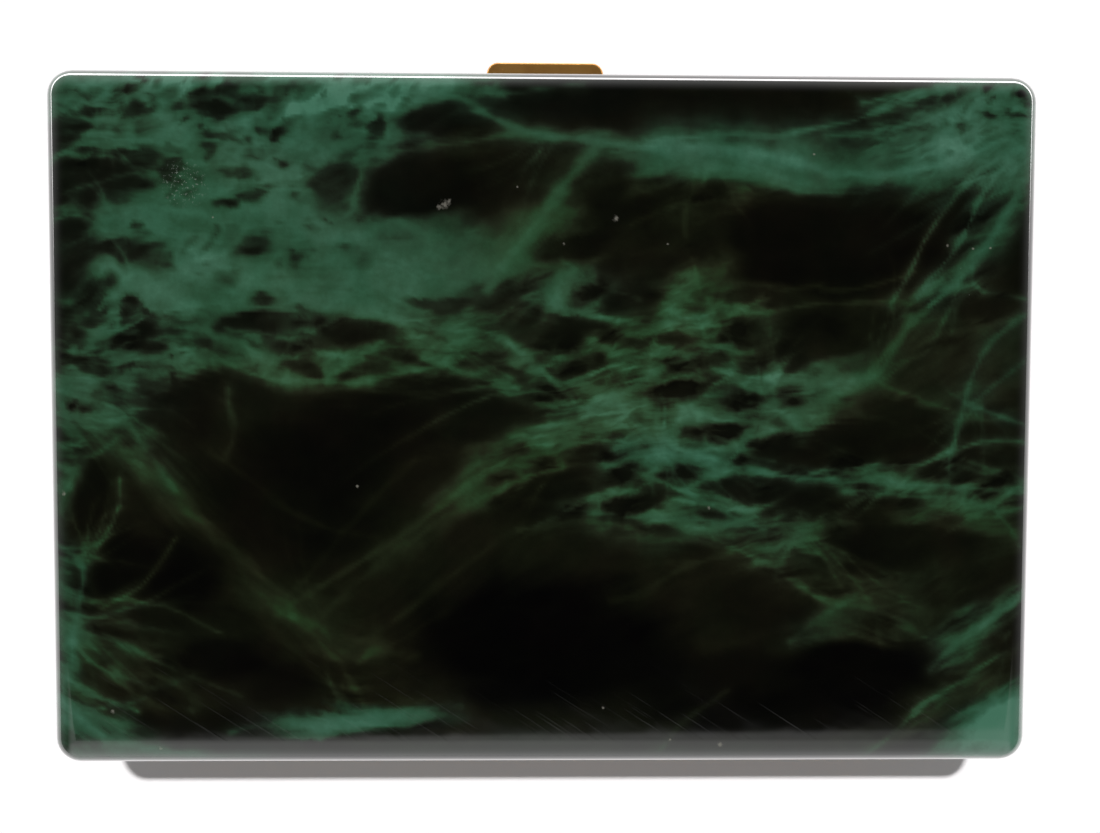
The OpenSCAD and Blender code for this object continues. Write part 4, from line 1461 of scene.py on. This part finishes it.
@dataclass(frozen=True)
class MarbledLacquer:
    """Deep glossy lacquer over combed green pigment on a near-black ground."""

    name: str = "marbled_lacquer"
    gloss: float = 0.04
    face_z: float = 18.0
    mid_y: float = -0.9
    cell: float = 2.7
    small_cell: float = 1.25
    cell_stretch: float = 0.38
    thread_stretch: float = 0.2
    sway: Point = (2.4, 1.8)
    frosted: Place = (-38.6, 25.4, 3.2)
    flecks: tuple[Place, ...] = FLECKS

    def make(self) -> bpy.types.Material:
        """Builds the lacquer.

        Returns:
            The material.
        """
        paint = Paint.of_material(self.name, (0.03, 0.09, 0.055, 1))
        place = paint.place()
        veil, teal, net = paint.attribute("veil")
        restless = net * veil.over(0.1, 0.42) * (1 - veil.over(0.45, 0.85) * 0.75) + 0.02
        small_cloud = (paint.noise(place, 1.5, 4, 0.62) - 0.5) * 0.4
        mottle = small_cloud + (paint.noise(place, 6.5, 3, 0.6) - 0.5) * 0.55
        laid = (veil + restless * self._network(paint, place) + mottle * veil).at_least(veil * 0.3)
        pigment = (laid - (laid - 0.6).at_least(0) * (1 - veil.over(0.85, 1.0)) * 0.16).clamp()
        colour = self._colour(paint, place, pigment, teal)
        colour, rough = self._dust(paint, place, colour)
        return paint.surface(
            Base_Color=colour,
            Roughness=rough,
            Specular_IOR_Level=0.5,
            IOR=1.5,
            Coat_Weight=1.0,
            Coat_Roughness=0.02,
            Coat_IOR=1.5,
            Normal=self._ripple(paint, place),
        )

    def _network(self, paint: Paint, place: Value) -> Value:
        """Lens-shaped cells between fine branching threads, both drawn out along the flow.

        Args:
            paint: The lacquer's paint.
            place: The point on the piece.

        Returns:
            How much the network adds to the pigment, from about -0.8 to 0.6.
        """
        comb = paint.node("ShaderNodeAttribute", {"attribute_name": "comb"}, {}, "Vector")
        sway = paint.node(
            "ShaderNodeTexNoise",
            {"noise_dimensions": "3D"},
            {"Vector": place, "Scale": 1 / (4 * MM), "Detail": 3.0, "Roughness": 0.6},
            "Color",
        )
        swayed = paint.node(
            "ShaderNodeVectorMath",
            {"operation": "MULTIPLY_ADD"},
            {0: sway, 1: (self.sway[0] * MM, self.sway[1] * MM, 0), 2: comb},
            "Vector",
        )
        drawn = paint.turned(swayed, scale=(self.cell_stretch, 1, 1))
        wide = 1 - paint.cells(drawn, self.cell, "DISTANCE_TO_EDGE").over(0.01, 0.34)
        close = 1 - paint.cells(drawn, self.small_cell, "DISTANCE_TO_EDGE").over(0.0, 0.4)
        broken = paint.noise(swayed, 3.4, 2, 0.5)
        threads = paint.turned(swayed, scale=(self.thread_stretch, 1, 1))
        ridges = {"kind": "RIDGED_MULTIFRACTAL", "Offset": 0.9, "Gain": 1.5}
        coarse = (paint.noise(threads, 2.6, 4, 0.6, **ridges) * 0.5).clamp()
        fine = (paint.noise(threads, 1.1, 3, 0.6, **ridges) * 0.5).clamp()
        round_cells = paint.cells(drawn, self.cell).over(0.14, 0.62)
        mesh = wide * 0.34 + round_cells * 0.36 + close * (1 - broken).over(0.35, 0.62) * 0.36
        return mesh + (broken - 0.5) * 0.36 + (coarse - 0.6) * 0.26 + (fine - 0.6) * 0.14 - 0.5

    def _colour(self, paint: Paint, place: Value, pigment: Value, teal: Value) -> Value:
        """Colour of the pigment, from brown-black through olive to green.

        Args:
            paint: The lacquer's paint.
            place: The point on the piece.
            pigment: How much pigment there is, from 0 to 1.
            teal: How far its hue goes from olive to green, from 0 to 1.

        Returns:
            The colour.
        """
        olive = paint.ramp(
            pigment,
            (
                (0.0, (0.0010, 0.0009, 0.0009, 1)),
                (0.1, (0.0033, 0.0034, 0.0020, 1)),
                (0.2, (0.0063, 0.0070, 0.0034, 1)),
                (0.35, (0.0130, 0.0165, 0.0076, 1)),
                (0.5, (0.0170, 0.0330, 0.0125, 1)),
                (0.7, (0.0260, 0.0680, 0.0270, 1)),
                (1.0, (0.0480, 0.1450, 0.0720, 1)),
            ),
        )
        green = paint.ramp(
            pigment,
            (
                (0.0, (0.0010, 0.0009, 0.0010, 1)),
                (0.1, (0.0029, 0.0036, 0.0024, 1)),
                (0.2, (0.0055, 0.0076, 0.0048, 1)),
                (0.35, (0.0100, 0.0180, 0.0110, 1)),
                (0.5, (0.0150, 0.0370, 0.0200, 1)),
                (0.7, (0.0235, 0.0720, 0.0400, 1)),
                (0.85, (0.0360, 0.1100, 0.0680, 1)),
                (1.0, (0.0580, 0.1620, 0.1080, 1)),
            ),
        )
        colour = paint.mix(teal.over(0.1, 0.75), olive, green)
        tint = paint.noise(place, 7, 3, 0.55)
        warm = paint.mix(tint.over(0.35, 0.7), (0.88, 0.95, 0.9, 1), (1.16, 1.04, 1.05, 1))
        return paint.mix(1.0, colour, warm, "MULTIPLY")

    def _dust(self, paint: Paint, place: Value, colour: Value) -> tuple[Value, Value]:
        """Specks of dust, one frosted patch and a faint handling haze over the gloss.

        Args:
            paint: The lacquer's paint.
            place: The point on the piece.
            colour: The pigment's colour.

        Returns:
            The dusty colour and the roughness.
        """
        grain = paint.noise(place, 0.3, 2, 0.5)
        spot = Value.zero(paint)
        for fleck in self.flecks:
            edge = self._away(paint, place, fleck) / (fleck[2] * MM) + (grain - 0.5) * 2.4
            spot = spot.at_least(1 - edge.over(0.0, 1.4))
        radius = self.frosted[2] * MM
        frosted = 1 - self._away(paint, place, self.frosted).over(0.3 * radius, radius)
        frost = paint.noise(place, 0.34, 3, 0.7).over(0.56, 0.68) * frosted
        motes = paint.cells(place, 7) + grain * 0.02
        motes = (1 - motes.over(0.012, 0.022)) * paint.noise(place, 19, 1, 0.5).over(0.45, 0.6)
        colour = paint.mix(spot * 0.3, colour, (0.40, 0.38, 0.32, 1))
        colour = paint.mix((frost * 0.36).at_least(motes * 0.4), colour, (0.36, 0.42, 0.37, 1))
        smear = paint.noise(paint.turned(place, (0, 0, 24), (0.25, 1, 1)), 6, 4, 0.6)
        rough = smear.over(0.4, 0.75) * 0.05 + self.gloss + spot * 0.5 + frost * 0.2
        return colour, rough.clamp()

    def _away(self, paint: Paint, place: Value, spot: Place) -> Value:
        """How far each place is from a spot's middle on the face, in metres."""
        middle = (spot[0] * MM, (spot[1] + self.mid_y) * MM, self.face_z * MM)
        return paint.distance(place, middle)

    def _ripple(self, paint: Paint, place: Value) -> Value:
        """The lacquer's slight waviness under fine polishing marks.

        Args:
            paint: The lacquer's paint.
            place: The point on the piece.

        Returns:
            The bent normal.
        """
        wave = paint.bump(paint.noise(place, 6, 2, 0.5), 0.012)
        scratch = paint.noise(paint.turned(place, (0, 0, 33), (0.03, 1.6, 1)), 0.5, 2, 0.5)
        return paint.bump(scratch.over(0.6, 0.72), 0.0012, wave)


@dataclass(frozen=True)
class WornMetal:
    """Metal with a brushed grain, a thin tarnish and bright rubbed places."""

    name: str
    bright: Colour
    dull: Colour
    rough: float
    rough_spread: float
    grain_depth: float
    tarnish: float
    metallic: float = 1.0
    scratch_turn: float = 27

    def make(self) -> bpy.types.Material:
        """Builds the metal.

        Returns:
            The material.
        """
        paint = Paint.of_material(self.name, self.bright)
        place = paint.place()
        cloud = paint.noise(place, 5, 5, 0.62)
        speck = paint.noise(place, 0.55, 3, 0.6)
        brushed = paint.noise(paint.turned(place, scale=(0.04, 1, 1)), 0.16, 3, 0.55)
        slanted = paint.turned(place, (0, 0, self.scratch_turn), (0.02, 1.3, 1))
        lines = paint.noise(slanted, 0.3, 2, 0.5).over(0.62, 0.74)
        stain = (cloud.over(0.38, 0.7) * 0.75 + speck.over(0.55, 0.8) * 0.3).clamp() * self.tarnish
        colour = paint.mix(stain, self.bright, self.dull)
        colour = paint.mix(brushed * 0.22, colour, self.dull)
        rough = (stain * self.rough_spread + self.rough + brushed * 0.07 + lines * 0.06).clamp()
        under = paint.bump(brushed, self.grain_depth)
        return paint.surface(
            Base_Color=colour,
            Roughness=rough,
            Metallic=self.metallic,
            Normal=paint.bump(lines, 0.002, under),
        )


FINISHES: dict[Finish, MarbledLacquer | WornMetal] = {
    Finish.MARBLE: MarbledLacquer(),
    Finish.BRASS: WornMetal(
        "polished_brass",
        bright=(0.88, 0.46, 0.125, 1),
        dull=(0.48, 0.195, 0.045, 1),
        rough=0.16,
        rough_spread=0.16,
        grain_depth=0.003,
        tarnish=0.6,
        metallic=0.8,
    ),
    Finish.GILT: WornMetal(
        "gilt_liner",
        bright=(0.83, 0.60, 0.26, 1),
        dull=(0.52, 0.34, 0.13, 1),
        rough=0.3,
        rough_spread=0.14,
        grain_depth=0.004,
        tarnish=0.35,
    ),
    Finish.STEEL: WornMetal(
        "spring_steel",
        bright=(0.50, 0.49, 0.47, 1),
        dull=(0.20, 0.18, 0.16, 1),
        rough=0.28,
        rough_spread=0.18,
        grain_depth=0.003,
        tarnish=0.5,
    ),
}


class FinishShelf:
    """Makes each finish once and hands it out."""

    def __init__(self) -> None:
        """Starts with nothing made."""
        self._made: dict[Finish, bpy.types.Material] = {}

    def get(self, finish: Finish) -> bpy.types.Material:
        """The material of a finish.

        Args:
            finish: The finish wanted.

        Returns:
            Its material.
        """
        if finish not in self._made:
            self._made[finish] = FINISHES[finish].make()
        return self._made[finish]

    def dress(self, piece: bpy.types.Object, finish: Finish) -> None:
        """Gives a new piece its finish.

        Args:
            piece: The new piece.
            finish: Its finish.
        """
        piece.data.materials.clear()
        piece.data.materials.append(self.get(finish))


# ------------------------------------------------------------- sub-assemblies


@dataclass
class Shell:
    """One pressed shell: a flat face rolled over into short walls, lacquered outside.

    Sizes are in millimetres and match the solid of the same name.
    """

    half: Half
    width: float = 108
    depth: float = 76
    back_y: float = -38.9
    height: float = 8.35
    thickness: float = 18
    corner: float = 3
    roll: float = 2.9
    wall: float = 0.8
    hinge_y: float = -39
    mid_z: float = 9
    channel: float = 1.25
    channel_x: float = 46.15
    notch_x: float = 6.85
    notch_z: float = 1.35
    channel_sides: int = 48
    notch_reach: float = 2
    edge_steps: int = 8
    level_depths: Point = (4.9, 6.9)
    plane_gap: float = 0.003
    ruling_inset: float = 0.2
    first_cuts: int = 7
    columns: int = 320
    rows: int = 220

    @property
    def face_z(self) -> float:
        """Height of the flat face."""
        return self.thickness if self.half is Half.LID else 0

    @property
    def front_y(self) -> float:
        """Place of the catch side's wall."""
        return self.back_y + self.depth

    @property
    def mid_y(self) -> float:
        """Middle of the face along Y."""
        return self.back_y + self.depth / 2

    @property
    def rim_z(self) -> float:
        """Height of the open edge."""
        return self.face_z - self.half.value * self.height

    def at_depth(self, depth: float) -> float:
        """Height of the level a depth behind the face."""
        return self.face_z - self.half.value * depth

    def build(self, name: str) -> bpy.types.Object:
        """Builds the shell from a cube primitive.

        Args:
            name: The piece's name.

        Returns:
            The finished mesh object.
        """
        low, high = sorted((self.face_z, self.rim_z))
        piece = block(name, (-self.width / 2, self.back_y, low), (self.width / 2, self.front_y, high))
        self._roll_edges(piece)
        self._open_back(piece)
        for _ in ("outside", "inside"):
            piece.data.materials.append(None)
        apply_modifier(
            piece,
            "SOLIDIFY",
            thickness=self.wall * MM,
            offset=-1,
            use_even_offset=True,
            material_offset=1,
            material_offset_rim=1,
        )
        self._cut(piece)
        self._rule(piece)
        smooth(piece)
        return piece

    def _roll_edges(self, piece: bpy.types.Object) -> None:
        """Rounds the four upright corners and rolls the face's rim over.

        Args:
            piece: The shell, still a solid block.
        """
        as_arc = {"segments": self.edge_steps, "profile": 0.5, "clamp_overlap": False}
        with editing(piece):
            pick(piece, Part.EDGES, lambda e: abs(e.verts[0].co.z - e.verts[1].co.z) > MM)
            bpy.ops.mesh.bevel(offset=self.corner * MM, **as_arc)
            pick(piece, Part.EDGES, lambda e: self._level(e, self.face_z))
            bpy.ops.mesh.bevel(offset=self.roll * MM, **as_arc)
            bpy.ops.mesh.select_all(action="SELECT")
            bpy.ops.mesh.remove_doubles(threshold=0.001 * MM)

    @staticmethod
    def _level(part: bmesh.types.BMEdge | bmesh.types.BMFace, height: float) -> bool:
        """Whether a whole edge or face lies at a height."""
        return all(abs(v.co.z - height * MM) < 0.01 * MM for v in part.verts)

    def _split(self, at: Place, normal: Place) -> None:
        """Splits what is selected along a plane through a point in millimetres."""
        point = [c * MM for c in at]
        bpy.ops.mesh.bisect(plane_co=point, plane_no=normal, threshold=self.plane_gap * MM)

    def _open_back(self, piece: bpy.types.Object) -> None:
        """Takes away the cap over the open edge and levels the walls for the cuts.

        Args:
            piece: The shell, still closed.
        """
        with editing(piece):
            pick(piece, Part.FACES, lambda f: self._level(f, self.rim_z))
            bpy.ops.mesh.delete(type="FACE")
            for depth in self.level_depths:
                bpy.ops.mesh.select_all(action="SELECT")
                self._split((0, 0, self.at_depth(depth)), (0, 0, 1))

    def _cut(self, piece: bpy.types.Object) -> None:
        """Cuts the hinge channel in the back wall and the thumb notch in the front wall.

        Args:
            piece: The shell with its walls' thickness.
        """
        left, right = ((x, self.hinge_y, self.mid_z) for x in (-self.channel_x, self.channel_x))
        carve(piece, rod("channel_cutter", left, right, self.channel, self.channel_sides))
        low, high = (
            (s * self.notch_x, self.front_y + s * self.notch_reach, self.mid_z + s * self.notch_z)
            for s in (-1, 1)
        )
        carve(piece, block("notch_cutter", low, high))

    def _rule(self, piece: bpy.types.Object) -> None:
        """Rules the outside into small squares, so that the marbling can be stored on it.

        Args:
            piece: The shell with its cuts.
        """
        span_x, span_y = self._span(self.width), self._span(self.depth)
        planes = [((s * span_x, 0, 0), (1, 0, 0)) for s in (-1, 1)]
        planes += [((0, self.mid_y + s * span_y, 0), (0, 1, 0)) for s in (-1, 1)]
        with editing(piece):
            for at, normal in planes:
                pick(piece, Part.FACES, lambda f: f.material_index == OUTSIDE)
                self._split(at, normal)
            for axis, lines in enumerate((self.columns, self.rows)):
                for cuts in (self.first_cuts, lines // (self.first_cuts + 1) - 1):
                    pick(piece, Part.EDGES, lambda e: self._runs_along(e, axis))
                    bpy.ops.mesh.subdivide(number_cuts=cuts, quadcorner="INNERVERT")

    def _span(self, side: float) -> float:
        """How far the ruling reaches from the middle of a side."""
        return side / 2 - self.corner - self.ruling_inset

    def _runs_along(self, edge: bmesh.types.BMEdge, axis: int) -> bool:
        """Whether an edge of the outside runs along an axis between the corners.

        Args:
            edge: The edge.
            axis: 0 for X or 1 for Y.

        Returns:
            True if it does.
        """
        straight, shortest, slack = 0.9999, 0.5 * MM, 0.01
        run = edge.verts[1].co - edge.verts[0].co
        if abs(run[axis]) < straight * run.length or run.length < shortest:
            return False
        if any(f.material_index != OUTSIDE or len(f.verts) > 4 for f in edge.link_faces):
            return False
        limit = self._span((self.width, self.depth)[axis]) + slack
        middle = (0, self.mid_y)[axis]
        return all(abs(v.co[axis] / MM - middle) < limit for v in edge.verts)

    def dress(self, piece: bpy.types.Object, shelf: FinishShelf, layout: Marbling) -> None:
        """Lacquers the shell and lays the marbling on it.

        Args:
            piece: The shell.
            shelf: The finishes.
            layout: The marbling's layout.
        """
        shelf.dress(piece, Finish.MARBLE)
        faces = piece.data.polygons
        faces.foreach_set("material_index", [OUTSIDE] * len(faces))
        MarbleField(layout, self.roll).write_to(piece, self.face_z, self.mid_y, self.half.value)


NODE_FINISH: dict[Finish, tuple[str, ...]] = {
    Finish.BRASS: (
        "base_frame", "lid_frame", "base_hinge_leaf", "lid_hinge_leaf", "catch_bracket",
        "bracket_rivet_left", "bracket_rivet_right", "keeper_rivet_left", "keeper_rivet_right",
        "thumb_piece", "catch_bolt", "base_lug_left", "base_lug_right", "lid_lug_left", "lid_lug_right",
    ),
    Finish.GILT: ("base_pan", "lid_pan", "base_arm", "lid_arm"),
    Finish.STEEL: (
        "hinge_pin", "keeper", "base_arm_pin", "lid_arm_pin",
        "catch_spring", "base_arm_spring", "lid_arm_spring",
    ),
}
SOFT_EDGE: dict[str, float] = {
    "thumb_piece": 0.8, "base_frame": 0.06, "lid_frame": 0.06, "base_arm": 0.08, "lid_arm": 0.08,
    "base_pan": 0.03, "lid_pan": 0.03, "catch_bolt": 0.05, "keeper": 0.05, "catch_bracket": 0.05,
    "base_hinge_leaf": 0.05, "lid_hinge_leaf": 0.05, "hinge_pin": 0.06,
    "base_arm_spring": 0, "lid_arm_spring": 0, "catch_spring": 0.03,
}


@dataclass(frozen=True)
class Metalwork:
    """The brass, gilt and steel pieces that keep their solids' shapes, with softened edges.

    Widths are in millimetres.
    """

    usual_edge: float = 0.04
    edge_steps: int = 2
    thumb_steps: int = 6

    def build(self, node: str) -> bpy.types.Object:
        """Copies a node and softens its sharp edges.

        Args:
            node: The CAD node.

        Returns:
            The new piece.
        """
        piece = copy_of_node(node, node + "_dressed")
        width = SOFT_EDGE.get(node, self.usual_edge)
        if width > 0:
            apply_modifier(
                piece,
                "BEVEL",
                width=width * MM,
                segments=self.thumb_steps if node == "thumb_piece" else self.edge_steps,
                limit_method="ANGLE",
                angle_limit=SHARP,
                use_clamp_overlap=True,
                harden_normals=False,
            )
        smooth(piece)
        return piece


@dataclass(frozen=True)
class Flex:
    """A spring that sits between two bodies without bending.

    Its low end along one axis belongs with one body and its high end with the other, but it is
    tied to neither. A bend would start and end an inset in from its ends, in millimetres.
    """

    low: Body
    high: Body
    axis: int
    inset: float

    def hang(self, piece: bpy.types.Object) -> None:
        """Works out where a bend would start and end, and moves the spring's place into its mesh.

        The spring is neither bent nor tied to either body.

        Args:
            piece: The finished spring.
        """
        corners = np.array([vertex.co for vertex in piece.data.vertices])
        start, end = corners.mean(axis=0), corners.mean(axis=0)
        start[self.axis] = corners[:, self.axis].min() + self.inset * MM
        end[self.axis] = corners[:, self.axis].max() - self.inset * MM
        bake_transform(piece)


SPRINGS: dict[str, Flex] = {
    "catch_spring": Flex(Body.BASE, Body.CATCH, 1, 0.3),
    "base_arm_spring": Flex(Body.BASE, Body.BASE_ARM, 0, 0.4),
    "lid_arm_spring": Flex(Body.LID, Body.LID_ARM, 0, 0.4),
}


# --------------------------------------------------------------------- stage


@dataclass(frozen=True)
class Viewpoint:
    """The camera, by its place, the way that it looks and its lens."""

    place: Place = (-1.01, 3.49, 121.59)
    right: Place = (0.99987733, 0.00349056, 0.0152689)
    up: Place = (-0.00293101, 0.99932876, -0.03651618)
    focal_pixels: float = 958.5
    frame_pixels: float = 1100
    sensor: float = 36
    near: float = 0.005
    far: float = 20

    def set_up(self) -> None:
        """Adds the camera and makes it the scene's."""
        data = bpy.data.cameras.new("camera")
        camera = bpy.data.objects.new("camera", data)
        bpy.context.scene.collection.objects.link(camera)
        data.lens = self.focal_pixels / self.frame_pixels * self.sensor
        data.sensor_width = self.sensor
        data.clip_start, data.clip_end = self.near, self.far
        right, up = Vector(self.right).normalized(), Vector(self.up)
        back = right.cross(up).normalized()
        up = back.cross(right)
        turn = Matrix((right, up, back)).transposed().to_4x4()
        camera.matrix_world = Matrix.Translation(Vector(self.place) * MM) @ turn
        bpy.context.scene.camera = camera


@dataclass(frozen=True)
class LightTent:
    """A dim room with a pale wall on the near side and a paler band low down all round."""

    fill: float = 0.17
    near: float = 0.95
    far: float = 0.55
    sides: float = 0.2
    zenith: float = 0.003
    wall_top: float = -0.373
    wall_lean: float = 0.01
    wall_edge: float = 0.003

    def set_up(self) -> None:
        """Builds the world's light."""
        world = bpy.data.worlds.new("tent")
        bpy.context.scene.world = world
        paint = Paint(world)
        way = paint.node("ShaderNodeTexCoord", {}, {}, "Generated")
        x, y, z = way.parts()
        up = z.at_least(0.001)
        top = x / up * self.wall_lean + self.wall_top
        above = (y / up - top).over(-self.wall_edge, self.wall_edge)
        right = x.over(0.0, 0.5)
        wide = (x * x).over(0.25, 0.6)
        wall = (y * -1).over(0.1, 0.5) * (1 - above) * (1 - wide) * (1 - right * 0.3)
        low = 1 - z.over(0.05, 0.85)
        band = y.over(0.0, 0.6) * (self.far - self.sides) + self.sides
        mirrored = wall * self.near + low * band + self.zenith
        seen = paint.node("ShaderNodeLightPath", {}, {}, "Is Camera Ray")
        glossy = Value(paint, seen.socket.node.outputs["Is Glossy Ray"])
        strength = glossy * mirrored + (1 - glossy) * self.fill
        strength = strength * (1 - seen) + seen
        paint.sky(strength)


@dataclass(frozen=True)
class SoftLamp:
    """One soft area lamp, in millimetres and watts."""

    name: str
    place: Place
    aim: Place
    size: Point
    power: float
    mirrored: bool

    def set_up(self) -> None:
        """Adds the lamp."""
        data = bpy.data.lights.new(self.name, "AREA")
        data.shape = "RECTANGLE"
        data.size, data.size_y = self.size[0] * MM, self.size[1] * MM
        data.energy = self.power
        lamp = bpy.data.objects.new(self.name, data)
        bpy.context.scene.collection.objects.link(lamp)
        place, aim = Vector(self.place) * MM, Vector(self.aim) * MM
        lamp.location = place
        lamp.visible_glossy = self.mirrored
        lamp.rotation_euler = (aim - place).to_track_quat("-Z", "Y").to_euler()


KEY = SoftLamp("key", (-140, 1640, 3080), (0, 0, 9), (170, 100), power=123, mirrored=False)


@dataclass(frozen=True)
class PaleFloor:
    """The plain floor that the case lies on, in millimetres.

    Reflections alone see a glowing strip on it behind the case, past the catch. This is painted light
    that no lamp gives, and its reflection draws the highlight line on the catch side's rolled edge.
    """

    side: float = 3000
    # Where the painted-light strip glows, for reflections only, and how brightly.
    strip_from: Point = (92, 112)
    strip_to: Point = (240, 400)
    painted_light_strip_glow: float = 7
    mirrored_glow: float = 0.1
    seen_glow: float = 0.05

    def lay(self) -> None:
        """Lays the floor."""
        clear_selection()
        bpy.ops.mesh.primitive_plane_add(size=self.side * MM, location=(0, 0, 0))
        floor = settle(bpy.context.active_object, "floor")
        floor.data.materials.append(self._material())

    def _material(self) -> bpy.types.Material:
        """Makes the floor's material.

        Returns:
            The material.
        """
        paint = Paint.of_material("pale_floor", (0.9, 0.9, 0.9, 1))
        place = paint.place()
        grain = paint.noise(place, 40, 3, 0.5)
        colour = paint.mix(grain, (0.95, 0.93, 0.94, 1), (0.97, 0.95, 0.96, 1))
        seen = paint.node("ShaderNodeLightPath", {}, {}, "Is Camera Ray")
        glossy = Value(paint, seen.socket.node.outputs["Is Glossy Ray"])
        _, along, _ = place.parts()
        (start, risen), (falling, end) = self.strip_from, self.strip_to
        # Painted light: for reflections only, the floor glows faintly all over and brightly in a strip
        # past the catch. The strip's reflection is the highlight line on the catch side's rolled edge.
        strip = along.over(start * MM, risen * MM) * (1 - along.over(falling * MM, end * MM))
        mirrored = strip * self.painted_light_strip_glow + self.mirrored_glow
        brightest = self.painted_light_strip_glow + self.mirrored_glow
        glow = (seen * self.seen_glow + glossy * mirrored) * (1 / brightest)
        white = (brightest, 0.97 * brightest, 0.98 * brightest, 1)
        return paint.surface(
            Base_Color=colour,
            Roughness=0.7,
            Specular_IOR_Level=0.2,
            Emission_Color=paint.mix(glow, (0, 0, 0, 1), white),
            Emission_Strength=1.0,
        )


# ---------------------------------------------------------------------- main


@dataclass
class PocketCase:
    """The whole case: both shells and all the metalwork between them."""

    shelf: FinishShelf = field(default_factory=FinishShelf)
    metalwork: Metalwork = field(default_factory=Metalwork)

    def build_shells(self) -> None:
        """Builds and dresses both shells."""
        plans = (
            (Shell(Half.LID), "front_shell", Body.LID, FRONT_MARBLING),
            (Shell(Half.BASE, columns=160, rows=112), "back_shell", Body.BASE, BACK_MARBLING),
        )
        for shell, node, body, layout in plans:
            piece = shell.build(node + "_lacquered")
            shell.dress(piece, self.shelf, layout)
            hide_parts(node)
            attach(piece, body.value)
            LOG.info("%s: %d faces", piece.name, len(piece.data.polygons))

    def build_metalwork(self) -> None:
        """Builds and dresses the metal pieces."""
        bodies = frame["record"]["behaviour"]["bodies"]
        body_of = {node: body for body, nodes in bodies.items() for node in nodes}
        for finish, nodes in NODE_FINISH.items():
            for node in nodes:
                piece = self.metalwork.build(node)
                self.shelf.dress(piece, finish)
                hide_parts(node)
                if node in SPRINGS:
                    SPRINGS[node].hang(piece)
                else:
                    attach(piece, body_of[node])
                LOG.info("%s: %d faces", piece.name, len(piece.data.polygons))


def main() -> None:
    """Builds the case, its stage and its light."""
    logging.basicConfig(level=logging.INFO, format="%(name)s %(message)s")
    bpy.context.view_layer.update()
    bpy.context.scene.view_settings.view_transform = "Standard"
    Viewpoint().set_up()
    LOG.info("camera")
    case = PocketCase()
    case.build_shells()
    case.build_metalwork()
    PaleFloor().lay()
    LOG.info("floor")
    LightTent().set_up()
    KEY.set_up()
    LOG.info("lamp %s", KEY.name)
    clear_selection()


if __name__ == "__main__":
    main()
